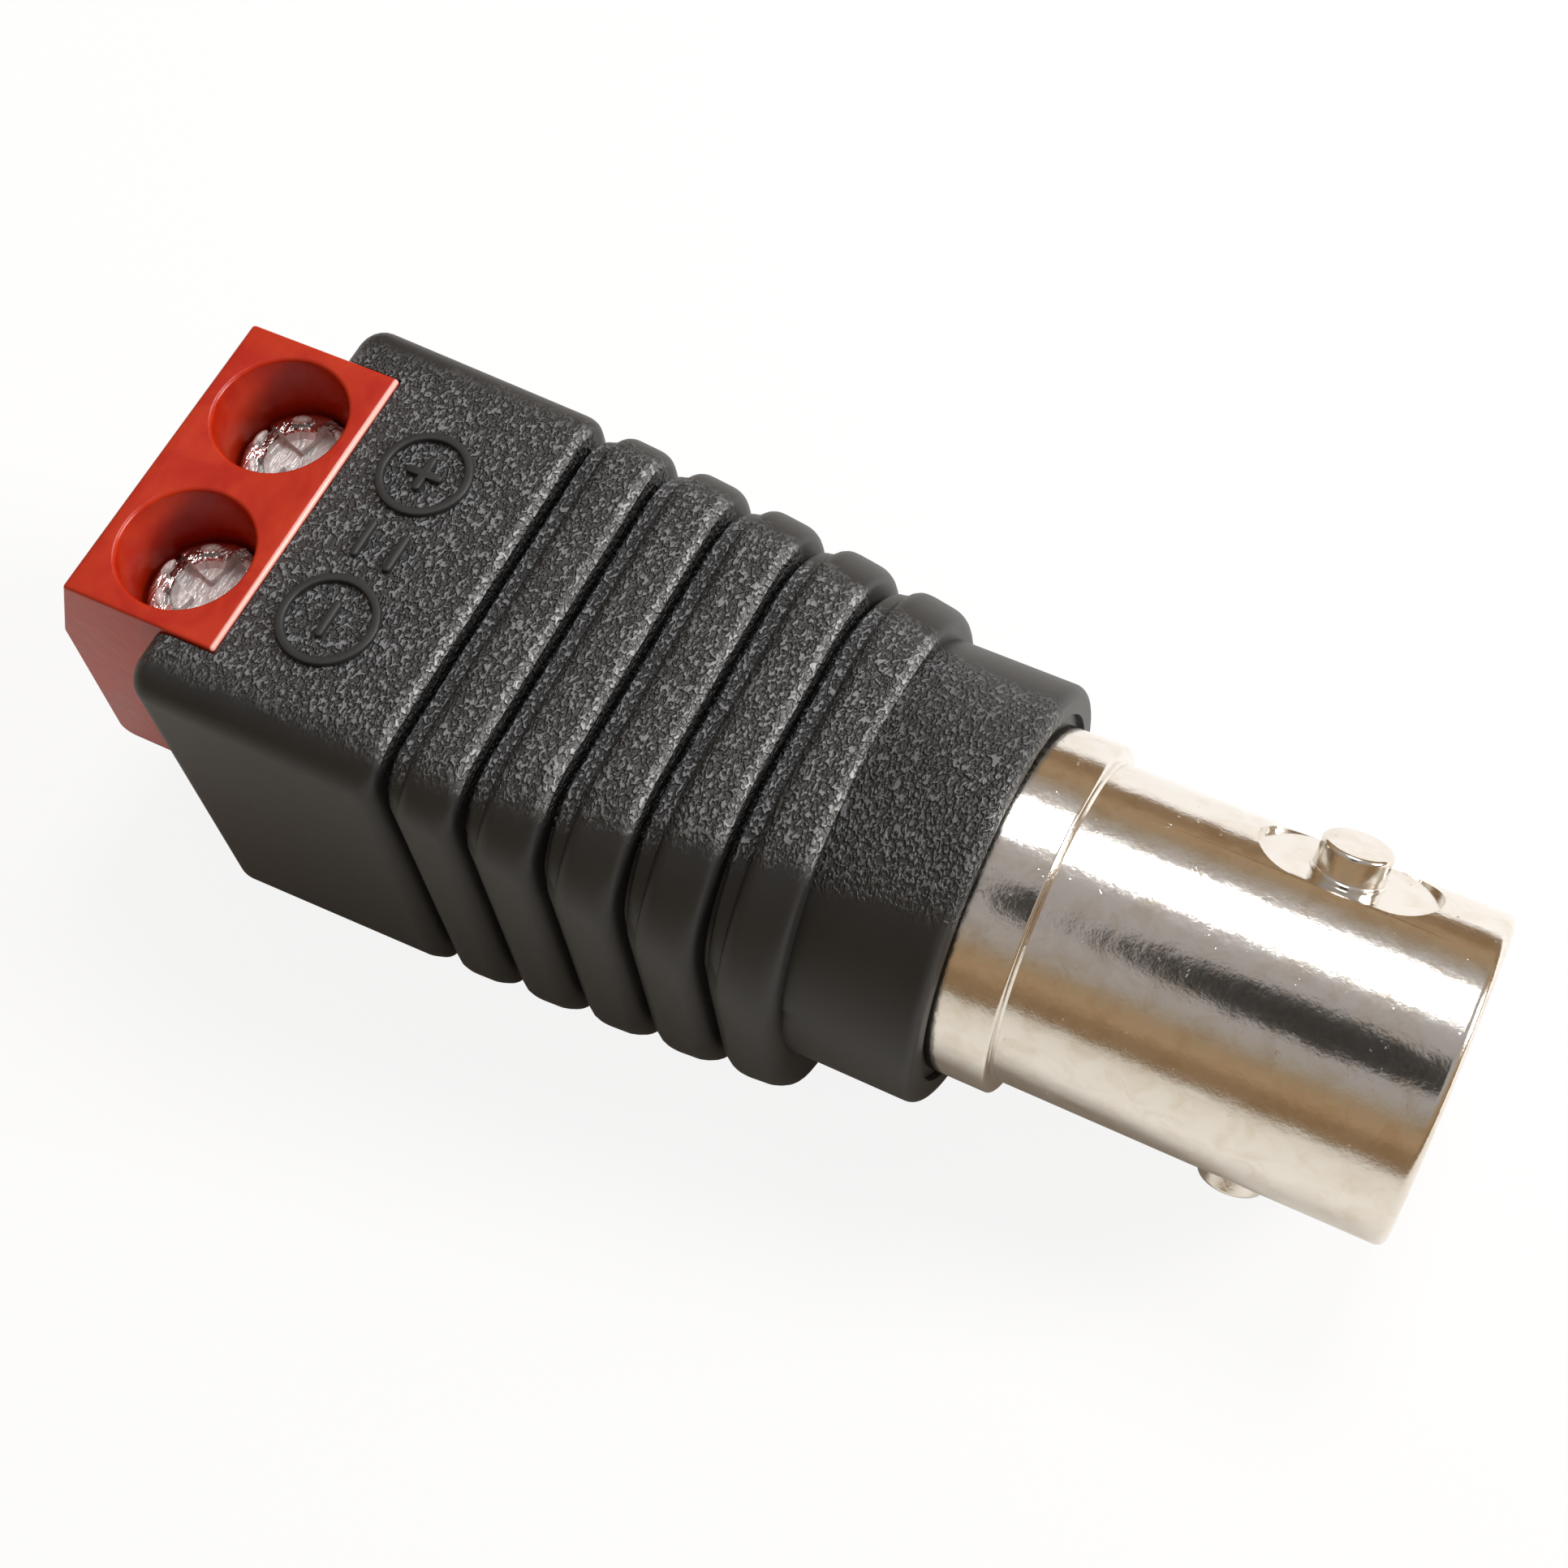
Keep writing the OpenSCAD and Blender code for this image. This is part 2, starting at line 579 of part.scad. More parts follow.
module signal_lead() color([0.75, 0.12, 0.10]) {
    y = poles[0];
    bend = [cup_end - lead_run, 0, 0];
    low = [back_x + bend_gap, y, lead_z];
    rod([cup_end + cup_lap, 0, 0], [cup_end, 0, 0], bare_d);
    rod([cup_end, 0, 0], bend, lead_d);
    rod(bend, low, lead_d);
    rod(low, [leg_x + bar_t + strip_len, y, lead_z], lead_d);
    for (p = [bend, low]) translate(p) sphere(d = bend_ball * lead_d, $fn = 32);
    lead_end(y);
}

module earth_lead() color([0.12, 0.12, 0.12]) {
    y = poles[1];
    jacket_x = neck_x - tongue_len - strip_len / 2;
    rod([jacket_x + tag_lap, y, lead_z], [jacket_x, y, lead_z], bare_d);
    rod([jacket_x, y, lead_z], [leg_x + bar_t + strip_len, y, lead_z], lead_d);
    lead_end(y);
}

moulded_body();
terminal_housing();
clamp_screw(poles[0]);  // clamp_screw_positive
clamp_screw(poles[1]);  // clamp_screw_negative
clamp_cage(poles[0]);  // clamp_cage_positive
clamp_cage(poles[1]);  // clamp_cage_negative
contact_bar(poles[0]);  // contact_bar_positive
contact_bar(poles[1]);  // contact_bar_negative
jack_shell();
jack_insulator();
rear_insulator();
retaining_ring();
centre_contact();
earth_tag();
signal_lead();
earth_lead();
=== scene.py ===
# %% [markdown]
# A short adapter: a coaxial bayonet jack on one end, a red two-way screw terminal block on the
# other, and a ribbed black overmoulding that holds the two together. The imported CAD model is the
# fixed frame. It gives every piece its place, and this script dresses it: first the camera and the
# light, then one piece after the other, each with its own finish.

# %% The fixed frame
import math

import bmesh
import bpy
from mathutils import Matrix, Quaternion, Vector


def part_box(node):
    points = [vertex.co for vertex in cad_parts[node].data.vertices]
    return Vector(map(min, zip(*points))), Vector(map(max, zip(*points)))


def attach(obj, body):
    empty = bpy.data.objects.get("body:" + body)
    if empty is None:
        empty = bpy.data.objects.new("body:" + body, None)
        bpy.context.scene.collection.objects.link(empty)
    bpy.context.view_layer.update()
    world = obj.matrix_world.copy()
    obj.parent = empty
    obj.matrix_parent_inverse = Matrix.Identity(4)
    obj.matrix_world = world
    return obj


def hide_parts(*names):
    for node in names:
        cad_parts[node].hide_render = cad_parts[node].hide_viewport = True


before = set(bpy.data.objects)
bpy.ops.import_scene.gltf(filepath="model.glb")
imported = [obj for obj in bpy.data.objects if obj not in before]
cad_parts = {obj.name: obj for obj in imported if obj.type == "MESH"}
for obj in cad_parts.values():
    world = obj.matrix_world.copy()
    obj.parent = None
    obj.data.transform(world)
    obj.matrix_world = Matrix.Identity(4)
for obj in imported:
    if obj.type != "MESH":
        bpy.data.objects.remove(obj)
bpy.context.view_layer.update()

# %% [markdown]
# The pieces are modelled in millimetres, because that is how such parts are drawn, and made metres
# when they are finished. The frame's boxes give the driving places: where the body ends, how high
# the block stands and where its wells are.

# %% Places taken from the frame
MM = 0.001


def span(node, axis):
    """The lowest and highest place of a CAD node along an axis, in millimetres."""
    low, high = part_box(node)
    return low[axis] / MM, high[axis] / MM


X, Y, Z = 0, 1, 2
body_end, collar_front = span("moulded_body", X)
half_width = span("moulded_body", Y)[1]
half_height = span("moulded_body", Z)[1]
block_front, block_back = span("terminal_housing", X)
block_low, block_top = span("terminal_housing", Z)
block_half = span("terminal_housing", Y)[1]
shell_back, mouth = span("jack_shell", X)
well_x = sum(span("clamp_screw_positive", X)) / 2
pole_y = sum(span("clamp_screw_positive", Y)) / 2
head_top = span("clamp_screw_positive", Z)[1]
print("body", body_end, "to", collar_front, "wells at", well_x, "poles at", pole_y)

# %% [markdown]
# The camera stands where the photograph was taken from: above the jack and a little to its right
# side, near enough for a strong perspective. Its place and the point it looks at are in the part's
# own frame. The roll is how far the picture is turned about the line of sight.

# %% Camera
EYE = Vector((1.10, -27.36, 62.76)) * MM
AIM = Vector((-17.64, 0.67, 0.0)) * MM
ROLL = math.radians(-8.13)
FOCAL = 55.65  # for a sensor 36 mm wide

camera_data = bpy.data.cameras.new("camera")
camera_data.lens = FOCAL
camera_data.sensor_width = 36.0
camera_data.clip_start = 0.001
camera = bpy.data.objects.new("camera", camera_data)
bpy.context.scene.collection.objects.link(camera)
camera.location = EYE
camera.rotation_mode = "QUATERNION"
camera.rotation_quaternion = (AIM - EYE).to_track_quat("-Z", "Y") @ Quaternion((0, 0, 1), ROLL)
bpy.context.scene.camera = camera
bpy.context.scene.view_settings.view_transform = "Standard"
print("camera", round((AIM - EYE).length / MM, 1), "mm from what it looks at")

# %% [markdown]
# Shader maths reads best as arithmetic. A Signal wraps one socket, and its operators add Math
# nodes, so that `1 - mask` works. A Finish is one material: its node() method makes any other node
# from its type, its settings and the values or links of its sockets.


# %% Signals and finishes
class Signal:
    """One shader socket that can stand in ordinary arithmetic."""

    def __init__(self, finish, socket):
        self.finish = finish
        self.socket = socket

    def maths(self, operation, *values):
        inputs = dict(enumerate(values or (self,)))
        return self.finish.node("ShaderNodeMath", {"operation": operation}, inputs)

    def __add__(self, other):
        return self.maths("ADD", self, other)

    def __sub__(self, other):
        return self.maths("SUBTRACT", self, other)

    def __rsub__(self, other):
        return self.maths("SUBTRACT", other, self)

    def __mul__(self, other):
        return self.maths("MULTIPLY", self, other)

    def __truediv__(self, other):
        return self.maths("DIVIDE", self, other)

    def __abs__(self):
        return self.maths("ABSOLUTE", self)

    __radd__ = __add__
    __rmul__ = __mul__

    def clamped(self):
        """The same value kept from 0 to 1."""
        return self.maths("MINIMUM", self.maths("MAXIMUM", self, 0.0), 1.0)


class Finish:
    """A material, or the world, and the nodes that it is made of."""

    def __init__(self, owner):
        owner.use_nodes = True
        self.owner = owner
        self.tree = owner.node_tree
        self.tree.nodes.clear()

    def node(self, kind, settings=None, inputs=None, output=0):
        made = self.tree.nodes.new(kind)
        for name, value in (settings or {}).items():
            if name == "stops":
                self.set_stops(made.color_ramp, value)
            else:
                setattr(made, name, value)
        for name, value in (inputs or {}).items():
            if isinstance(value, Signal):
                self.tree.links.new(value.socket, made.inputs[name])
            else:
                made.inputs[name].default_value = value
        return Signal(self, made.outputs[output]) if made.outputs else made

    def set_stops(self, ramp, stops):
        """Gives a colour ramp its (place, colour) stops."""
        while len(ramp.elements) > 1:
            ramp.elements.remove(ramp.elements[-1])
        for number, (place, colour) in enumerate(stops):
            element = ramp.elements[0] if number == 0 else ramp.elements.new(place)
            element.position = place
            element.color = colour if len(colour) == 4 else (*colour, 1.0)

    def place(self):
        """The point on the piece, in millimetres."""
        where = self.node("ShaderNodeTexCoord", output="Object")
        scaled = {0: where, "Scale": 1 / MM}
        return self.node("ShaderNodeVectorMath", {"operation": "SCALE"}, scaled)

    def axes(self, vector):
        """The X, Y and Z of a vector, as three signals."""
        split = self.node("ShaderNodeSeparateXYZ", inputs={0: vector}).socket.node
        return [Signal(self, split.outputs[axis]) for axis in (X, Y, Z)]

    def stretched(self, vector, scale):
        """A vector with each axis multiplied by its own number."""
        return self.node("ShaderNodeVectorMath", {"operation": "MULTIPLY"}, {0: vector, 1: scale})

    def noise(self, vector, scale, detail=2.0, roughness=0.5, distortion=0.0):
        inputs = {"Vector": vector, "Scale": scale, "Detail": detail,
                  "Roughness": roughness, "Distortion": distortion}
        return self.node("ShaderNodeTexNoise", {"noise_dimensions": "3D"}, inputs)

    def ramp(self, value, stops):
        return self.node("ShaderNodeValToRGB", {"stops": stops}, {0: value})

    def between(self, value, low, high):
        """0 below low, 1 above high and a smooth step in the middle."""
        inputs = {"Value": value, "From Min": low, "From Max": high}
        return self.node("ShaderNodeMapRange", {"interpolation_type": "SMOOTHSTEP"}, inputs)

    def mix(self, share, first, second):
        """Two colours mixed by a share from 0 to 1."""
        return self.node("ShaderNodeMix", {"data_type": "RGBA"}, {0: share, 6: first, 7: second}, 2)

    def bump(self, height, depth_mm, normal=None):
        inputs = {"Height": height, "Distance": depth_mm * MM, "Strength": 1.0}
        if normal is not None:
            inputs["Normal"] = normal
        return self.node("ShaderNodeBump", inputs=inputs)

    def surface(self, **sockets):
        """Ends the material in a Principled shader with these sockets."""
        inputs = {name.replace("_", " "): value for name, value in sockets.items()}
        shader = self.node("ShaderNodeBsdfPrincipled", inputs=inputs)
        self.node("ShaderNodeOutputMaterial", inputs={"Surface": shader})
        return self.owner


def new_finish(name):
    return Finish(bpy.data.materials.new(name))


def rgb(red, green, blue):
    """A colour with its alpha."""
    return (red, green, blue, 1.0)


print("helpers for finishes are ready")

# %% [markdown]
# The picture is a plain studio shot. A white table carries the part, a large soft lamp hangs over
# it and a weaker one fills the side towards the camera. The world gives the rest: a quiet violet
# grey overhead and a warm band low down, because bright plating is only as interesting as what it
# mirrors. The lens and its mount are mirrored too, so a dark card stands around the camera. The
# camera itself sees the world as white.

# %% Light and table
LAMP_OVER = {"at": (-0.007, 0.179, 0.36), "size": (0.125, 0.15), "watts": 0.78}
LAMP_SIDE = {"at": (0.30, 0.14, 0.18), "size": (0.14, 0.14), "watts": 1.5}
ROOM = [(0.0, rgb(0.27, 0.17, 0.09)), (0.20, rgb(0.27, 0.17, 0.09)), (0.34, rgb(0.42, 0.28, 0.16)),
        (0.50, rgb(0.35, 0.25, 0.15)), (0.62, rgb(0.38, 0.33, 0.28)), (0.74, rgb(0.41, 0.375, 0.36))]
# The table's colour is painted darker towards its near side, as the shade that falls there
TABLE_SHADE_RAMP = [(0.0, rgb(0.50, 0.46, 0.39)), (0.46, rgb(0.76, 0.745, 0.70)), (0.53, rgb(0.86, 0.86, 0.855))]
TABLE_SIZE = 1.6
TABLE_FADE = 400.0  # millimetres from the table's darker side to its lighter one
TABLE_LIFT = 0.88  # how much of the table's look is the backdrop's white


def soft_lamp(name, at, size, watts):
    lamp = bpy.data.lights.new(name, "AREA")
    lamp.shape = "RECTANGLE"
    lamp.size, lamp.size_y = size
    lamp.energy = watts
    holder = bpy.data.objects.new(name, lamp)
    bpy.context.scene.collection.objects.link(holder)
    holder.location = at
    holder.rotation_mode = "QUATERNION"
    holder.rotation_quaternion = (-Vector(at)).to_track_quat("-Z", "Y")
    return holder


def studio_world():
    world = bpy.data.worlds.new("studio")
    bpy.context.scene.world = world
    sky = Finish(world)
    direction = sky.node("ShaderNodeTexCoord", output="Generated")
    height = sky.axes(direction)[Z]
    room = sky.ramp(height, ROOM)
    light = sky.node("ShaderNodeBackground", inputs={"Color": room, "Strength": 1.0})
    backdrop = sky.node("ShaderNodeBackground", inputs={"Color": rgb(1, 1, 1), "Strength": 1.0})
    seen = sky.node("ShaderNodeLightPath", output="Is Camera Ray")
    mixed = sky.node("ShaderNodeMixShader", inputs={0: seen, 1: light, 2: backdrop})
    sky.node("ShaderNodeOutputWorld", inputs={"Surface": mixed})


def table_finish():
    """Paper white painted darker towards its near side as shade, which the camera sees lifted to the
    backdrop's white with a faint shadow.
    """
    finish = new_finish("table_white")
    across = finish.axes(finish.place())[Y] / TABLE_FADE + 0.5
    paper = finish.node("ShaderNodeBsdfDiffuse", inputs={"Color": finish.ramp(across, TABLE_SHADE_RAMP)})
    glow = finish.node("ShaderNodeEmission", inputs={"Color": rgb(1, 1, 1), "Strength": 1.0})
    seen = finish.node("ShaderNodeLightPath", output="Is Camera Ray")
    mixed = finish.node("ShaderNodeMixShader", inputs={0: seen * TABLE_LIFT, 1: paper, 2: glow})
    finish.node("ShaderNodeOutputMaterial", inputs={"Surface": mixed})
    return finish.owner


def white_table():
    table = bmesh.new()
    bmesh.ops.create_grid(table, x_segments=1, y_segments=1, size=TABLE_SIZE / 2)
    bmesh.ops.translate(table, verts=table.verts, vec=(0, 0, -half_height * MM))
    mesh = bpy.data.meshes.new("table")
    table.to_mesh(mesh)
    table.free()
    top = bpy.data.objects.new("table", mesh)
    bpy.context.scene.collection.objects.link(top)
    mesh.materials.append(table_finish())
    return top


def lens_card():
    """A dark card round the camera, which only mirror reflections see."""
    card = bmesh.new()
    bmesh.ops.create_circle(card, cap_ends=True, segments=48, radius=0.016)
    turn = (AIM - EYE).to_track_quat("-Z", "Y").to_matrix().to_4x4()
    back = EYE - (AIM - EYE).normalized() * 0.002
    bmesh.ops.transform(card, matrix=Matrix.Translation(back) @ turn, verts=card.verts)
    mesh = bpy.data.meshes.new("lens_card")
    card.to_mesh(mesh)
    card.free()
    piece = bpy.data.objects.new("lens_card", mesh)
    bpy.context.scene.collection.objects.link(piece)
    finish = new_finish("card_black")
    mesh.materials.append(finish.surface(Base_Color=rgb(0.02, 0.02, 0.02), Roughness=0.9))
    piece.visible_camera = False
    piece.visible_diffuse = False
    piece.visible_shadow = False


soft_lamp("lamp_over", **LAMP_OVER)
soft_lamp("lamp_side", **LAMP_SIDE)
studio_world()
white_table()
lens_card()
print("lamps, world and table are in place")

# %% [markdown]
# Four short helpers do most of the modelling. piece() turns a finished bmesh into an object at the
# origin that rides on a body. turned() spins a profile about the X axis, as a lathe does. skin()
# extrudes a face from ring to ring, which is how a body with a changing section is lofted. cut()
# and join() are Boolean modifiers that are applied at once.


# %% Modelling helpers
def piece(name, mesh_mm, body, slot, material, smooth=30.0, stands_for=()):
    """A finished object at the origin, from a bmesh in millimetres."""
    bmesh.ops.scale(mesh_mm, vec=(MM, MM, MM), verts=mesh_mm.verts)
    mesh = bpy.data.meshes.new(name)
    mesh_mm.to_mesh(mesh)
    mesh_mm.free()
    made = bpy.data.objects.new(name, mesh)
    bpy.context.scene.collection.objects.link(made)
    mesh.materials.append(material)
    mesh.shade_smooth()
    mesh.set_sharp_from_angle(angle=math.radians(smooth))
    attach(made, body)
    if stands_for:
        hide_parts(*stands_for)
    print(name, "has", len(mesh.polygons), "faces")
    return made


def tidy(mesh_mm, merge=0.0005):
    """Merges doubles and turns every face outwards."""
    bmesh.ops.remove_doubles(mesh_mm, verts=mesh_mm.verts, dist=merge)
    bmesh.ops.recalc_face_normals(mesh_mm, faces=mesh_mm.faces)
    return mesh_mm


def arc(centre, radius, start, end, steps=6):
    """Points of an arc in a plane, with its angles in degrees."""
    angles = [math.radians(start + (end - start) * i / steps) for i in range(steps + 1)]
    return [(centre[0] + radius * math.cos(a), centre[1] + radius * math.sin(a)) for a in angles]


def spun(points, axis, centre=(0, 0, 0), steps=96):
    """A closed profile of points spun once round an axis through a centre."""
    shape = bmesh.new()
    verts = [shape.verts.new(p) for p in points]
    edges = [shape.edges.new((a, b)) for a, b in zip(verts, verts[1:] + verts[:1])]
    bmesh.ops.spin(shape, geom=verts + edges, cent=centre, axis=axis, angle=2 * math.pi,
                   steps=steps, use_merge=True)
    return tidy(shape)


def turned(profile, steps=96):
    """A closed profile of (x, radius) points turned about the X axis."""
    return spun([(x, 0, r) for x, r in profile], (1, 0, 0), steps=steps)


def bored(profile, x, y, steps=64):
    """A closed profile of (radius, z) points turned about a vertical axis."""
    return spun([(x + r, y, z) for r, z in profile], (0, 0, 1), (x, y, 0), steps)


def slab(outline, width, y=0.0):
    """An outline of (x, z) points extruded along Y about a middle line."""
    shape = bmesh.new()
    face = shape.faces.new([shape.verts.new((x, y - width / 2, z)) for x, z in outline])
    made = bmesh.ops.extrude_face_region(shape, geom=[face])["geom"]
    moved = [g for g in made if isinstance(g, bmesh.types.BMVert)]
    bmesh.ops.translate(shape, verts=moved, vec=(0, width, 0))
    return tidy(shape)


def block(low, high):
    """A plain block from one corner to the opposite one."""
    shape = bmesh.new()
    bmesh.ops.create_cube(shape, size=1.0)
    low, high = Vector(low), Vector(high)
    bmesh.ops.scale(shape, vec=high - low, verts=shape.verts)
    bmesh.ops.translate(shape, vec=(low + high) / 2, verts=shape.verts)
    return shape


def skin(rings):
    """A closed loft: a face round the first ring is extruded to each of the others."""
    shape = bmesh.new()
    slot = shape.verts.layers.int.new("slot")
    start = bmesh.ops.create_circle(shape, cap_ends=True, segments=len(rings[0]), radius=1.0)
    for number, vert in enumerate(start["verts"]):
        vert[slot] = number
        vert.co = rings[0][number]
    first = cap = start["verts"][0].link_faces[0]
    for ring in rings[1:]:
        made = bmesh.ops.extrude_face_region(shape, geom=[cap])["geom"]
        if cap is not first:
            bmesh.ops.delete(shape, geom=[cap], context="FACES_ONLY")
        cap = next(g for g in made if isinstance(g, bmesh.types.BMFace))
        for vert in cap.verts:
            vert.co = ring[vert[slot]]
    return tidy(shape)


def gathered(shapes):
    """Several shapes in one bmesh, without cutting them into each other."""
    whole = bmesh.new()
    for shape in shapes:
        mesh = bpy.data.meshes.new("work")
        shape.to_mesh(mesh)
        shape.free()
        whole.from_mesh(mesh)
        bpy.data.meshes.remove(mesh)
    return whole


def boolean(shape, tools, operation):
    """Cuts, joins or crosses a bmesh with others. It takes them all and returns the result."""
    made = []
    for number, bm in enumerate([shape, *tools]):
        mesh = bpy.data.meshes.new("work")
        bm.to_mesh(mesh)
        bm.free()
        made.append(bpy.data.objects.new(f"work_{number}", mesh))
        bpy.context.scene.collection.objects.link(made[-1])
    base, rest = made[0], made[1:]
    for tool in rest:
        change = base.modifiers.new("boolean", "BOOLEAN")
        change.operation = operation
        change.solver = "EXACT"
        change.object = tool
    seen = base.evaluated_get(bpy.context.evaluated_depsgraph_get())
    result = bmesh.new()
    result.from_mesh(seen.to_mesh())
    seen.to_mesh_clear()
    for work in made:
        mesh = work.data
        bpy.data.objects.remove(work)
        bpy.data.meshes.remove(mesh)
    return result


def cut(shape, *tools):
    return boolean(shape, tools, "DIFFERENCE")


def join(shape, *tools):
    return boolean(shape, tools, "UNION")


print("modelling helpers are ready")

# %% [markdown]
# The black overmoulding is a tough, slightly soft plastic. The mould's cavity was spark-eroded on
# top, which leaves a leathery grain there and on every rib, while corners and sides stay satin. The
# grain could be sculpted, but its wrinkles are a tenth of a millimetre wide, so it is a noise that
# bumps the normal, squeezed along X because the wrinkles run across the part. A mask on the piece's
# own coordinates ends it at the corners, which get rounder towards the jack.

# %% Finish of the black moulding
GRAIN_EDGE = (6.3, 3.9)  # half width of the grained strip, at the first rib and at the collar
GRAIN_FADE = 1.1
GRAIN_SCALE = (10.0, 6.2, 6.2)  # wrinkles per millimetre along each axis
GRAIN_DEPTH = 0.15
MOULDING_DARK = rgb(0.012, 0.012, 0.012)
MOULDING_PALE = rgb(0.022, 0.022, 0.022)
# Pale grey of the grain's peaks: partly wear, partly painted glints
MOULDING_WEAR_AND_GLINT = rgb(0.24, 0.25, 0.265)
# Painted highlight colour on the rounded edge of each crest
MOULDING_HIGHLIGHT = rgb(0.34, 0.34, 0.34)
collar_len = 3.9
rib_pitch = 2.39
rib_count = 5
collar_back = collar_front - collar_len
rib_start = collar_back - rib_count * rib_pitch
# Painted light and shade along one rib, from its groove over step and rise to the edge of its crest:
# painted shade in the groove and on the rise, painted light on the step and at the crest's edge
RIB_LIGHT_AND_SHADE = [(0.0, rgb(0, 0, 0)), (0.09, rgb(0, 0, 0)), (0.10, rgb(1, 1, 1)), (0.27, rgb(1, 1, 1)),
            (0.31, rgb(0.03, 0.03, 0.03)), (0.38, rgb(0.15, 0.15, 0.15)), (0.52, rgb(0.5, 0.5, 0.5)),
            (0.86, rgb(0.5, 0.5, 0.5)), (0.93, rgb(1, 1, 1)), (0.985, rgb(0.9, 0.9, 0.9))]
# Painted highlight along the rounded edge of each crest
CREST_HIGHLIGHT_RAMP = [(0.0, rgb(0, 0, 0)), (0.87, rgb(0, 0, 0)), (0.925, rgb(0.8, 0.8, 0.8)), (0.99, rgb(1, 1, 1))]
OPEN_TONE = 0.5
COLLAR_TONE = 0.3


def moulding_finish(name, grained):
    """The grained finish, or the smooth one of the signs."""
    finish = new_finish(name)
    place = finish.place()
    x, y, z = finish.axes(place)
    along = finish.between(x, rib_start, collar_front)
    edge = GRAIN_EDGE[0] + along * (GRAIN_EDGE[1] - GRAIN_EDGE[0])
    ragged = finish.noise(place, 2.2) * 0.5 - 0.25
    inside = finish.between((edge - abs(y) + ragged) / GRAIN_FADE, 0.0, 1.0)
    mask = inside * finish.between(abs(z), 2.5, 3.5) * grained
    mask = mask * finish.between(x, body_end + 0.25, body_end + 0.6)
    wrinkles = finish.noise(finish.stretched(place, GRAIN_SCALE), 1.0, 0.6, 0.5, 0.6)
    grain = finish.between(wrinkles, 0.34, 0.66) * mask
    satin = finish.noise(place, 9.0, 3.0, 0.6)
    blotches = finish.noise(place, 0.5, 3.0)
    smooth = finish.mix(blotches, MOULDING_DARK, MOULDING_PALE)
    along_rib = ((x - rib_start) / rib_pitch).maths("FRACT")
    ribbed = finish.between(x, rib_start - 0.32, rib_start - 0.3)
    collar = finish.between(x, collar_back, collar_back + 0.05)
    ribbed = ribbed * (1 - collar)
    # The ribs' painted light and shade scale the grain's pale peaks
    grain_tone_and_rib_light = OPEN_TONE + (finish.ramp(along_rib, RIB_LIGHT_AND_SHADE) - OPEN_TONE) * ribbed
    grain_tone_and_rib_light = grain_tone_and_rib_light - collar * (OPEN_TONE - COLLAR_TONE)
    peaks = finish.between(wrinkles, 0.42, 0.72)
    # A painted highlight on the crests' edges, mixed in two lines below
    crest_highlight = finish.ramp(along_rib, CREST_HIGHLIGHT_RAMP) * ribbed * mask * 0.55
    # Grain peaks mixed towards pale grey: partly wear, partly painted glints
    colour = finish.mix((0.16 + peaks * 1.25) * grain_tone_and_rib_light * mask, smooth, MOULDING_WEAR_AND_GLINT)
    colour = finish.mix(crest_highlight * (0.5 + peaks), colour, MOULDING_HIGHLIGHT)
    fine = finish.bump(satin, 0.004)
    normal = finish.bump(grain, GRAIN_DEPTH, fine)
    rough = 0.42 + blotches * 0.08 - mask * 0.04
    return finish.surface(Base_Color=colour, Roughness=rough, Normal=normal, Specular_IOR_Level=0.4)


black_moulding = moulding_finish("black_moulding", 1.0)
black_smooth = moulding_finish("black_smooth", 0.0)
print("grained strip from", GRAIN_EDGE[0], "to", GRAIN_EDGE[1], "mm half width")

# %% [markdown]
# The body could be a box with grooves cut into it, but its corners grow from nearly square at the
# terminal end to nearly round at the collar, and the grooves follow them. So it is a loft: a
# rounded rectangle is extruded from station to station, and each station says how deep it lies
# below the outer surface on top and on the sides. One rib is a deep groove, a low step, a curve
# up to the crest and a rounded edge. The step dies out on the sides.

# %% Stations of the overmoulded body
TOP_RADII = (0.9, 0.9 * half_height)  # at the terminal end and at the collar
LOW_RADII = (0.8, 0.62 * half_height)
CORNER_STEPS = 14
END_ROUND = 0.8
CREST_ROUND = 0.2
SIDE_ROUND = 0.6
CREST_RISE = 0.5
GROOVE = {"width": 0.22, "top": 0.92, "side": 0.75}
STEP = {"length": 0.7, "top": 0.42, "round": 0.1}


def share(value, low, high):
    """A smooth step from 0 at low to 1 at high."""
    t = max(0.0, min(1.0, (value - low) / (high - low)))
    return t * t * (3 - 2 * t)


def corner_radius(x, radii):
    along = max(0.0, min(1.0, (x - body_end) / (collar_back - body_end))) ** 2
    return radii[0] + (radii[1] - radii[0]) * along


def body_ring(x, top_depth, side_depth):
    """One rounded rectangle of the loft."""
    points = []
    for corner in range(4):
        radii = TOP_RADII if corner < 2 else LOW_RADII
        side = 1 if corner in (0, 3) else -1
        up = 1 if corner < 2 else -1
        for step in range(CORNER_STEPS + 1):
            angle = math.radians(90 * (corner + step / CORNER_STEPS))
            facing = share(abs(math.sin(angle)), 0.1, 0.85)
            depth = side_depth + (top_depth - side_depth) * facing
            radius = max(corner_radius(x, radii) - 0.8 * depth, 0.25 * LOW_RADII[0])
            y = side * (half_width - depth - radius) + radius * math.cos(angle)
            z = up * (half_height - depth - radius) + radius * math.sin(angle)
            points.append((x, y, z))
    return points


def edge_in(x, radius, steps=8):
    return [(px, d, d) for px, d in arc((x + radius, radius), radius, 180, 270, steps)]


def round_off(past, radius):
    """Depth on a rounded edge, a way past the start of its rounding."""
    return radius - math.sqrt(radius ** 2 - max(0.0, min(past, radius)) ** 2)


def swell(past, run, deep):
    """Depth on a curve that rises from a depth to nothing over a run."""
    left = 1 - max(0.0, min(past, run)) / run
    return deep * (1 - math.sqrt(1 - left ** 2))


def crest_end(x):
    """Rounded end of a crest, tighter on the top than on the sides."""
    return [(x - SIDE_ROUND + past, round_off(past - SIDE_ROUND + CREST_ROUND, CREST_ROUND),
             round_off(past, SIDE_ROUND))
            for past in (SIDE_ROUND * math.sin(math.radians(9 * i)) for i in range(11))]


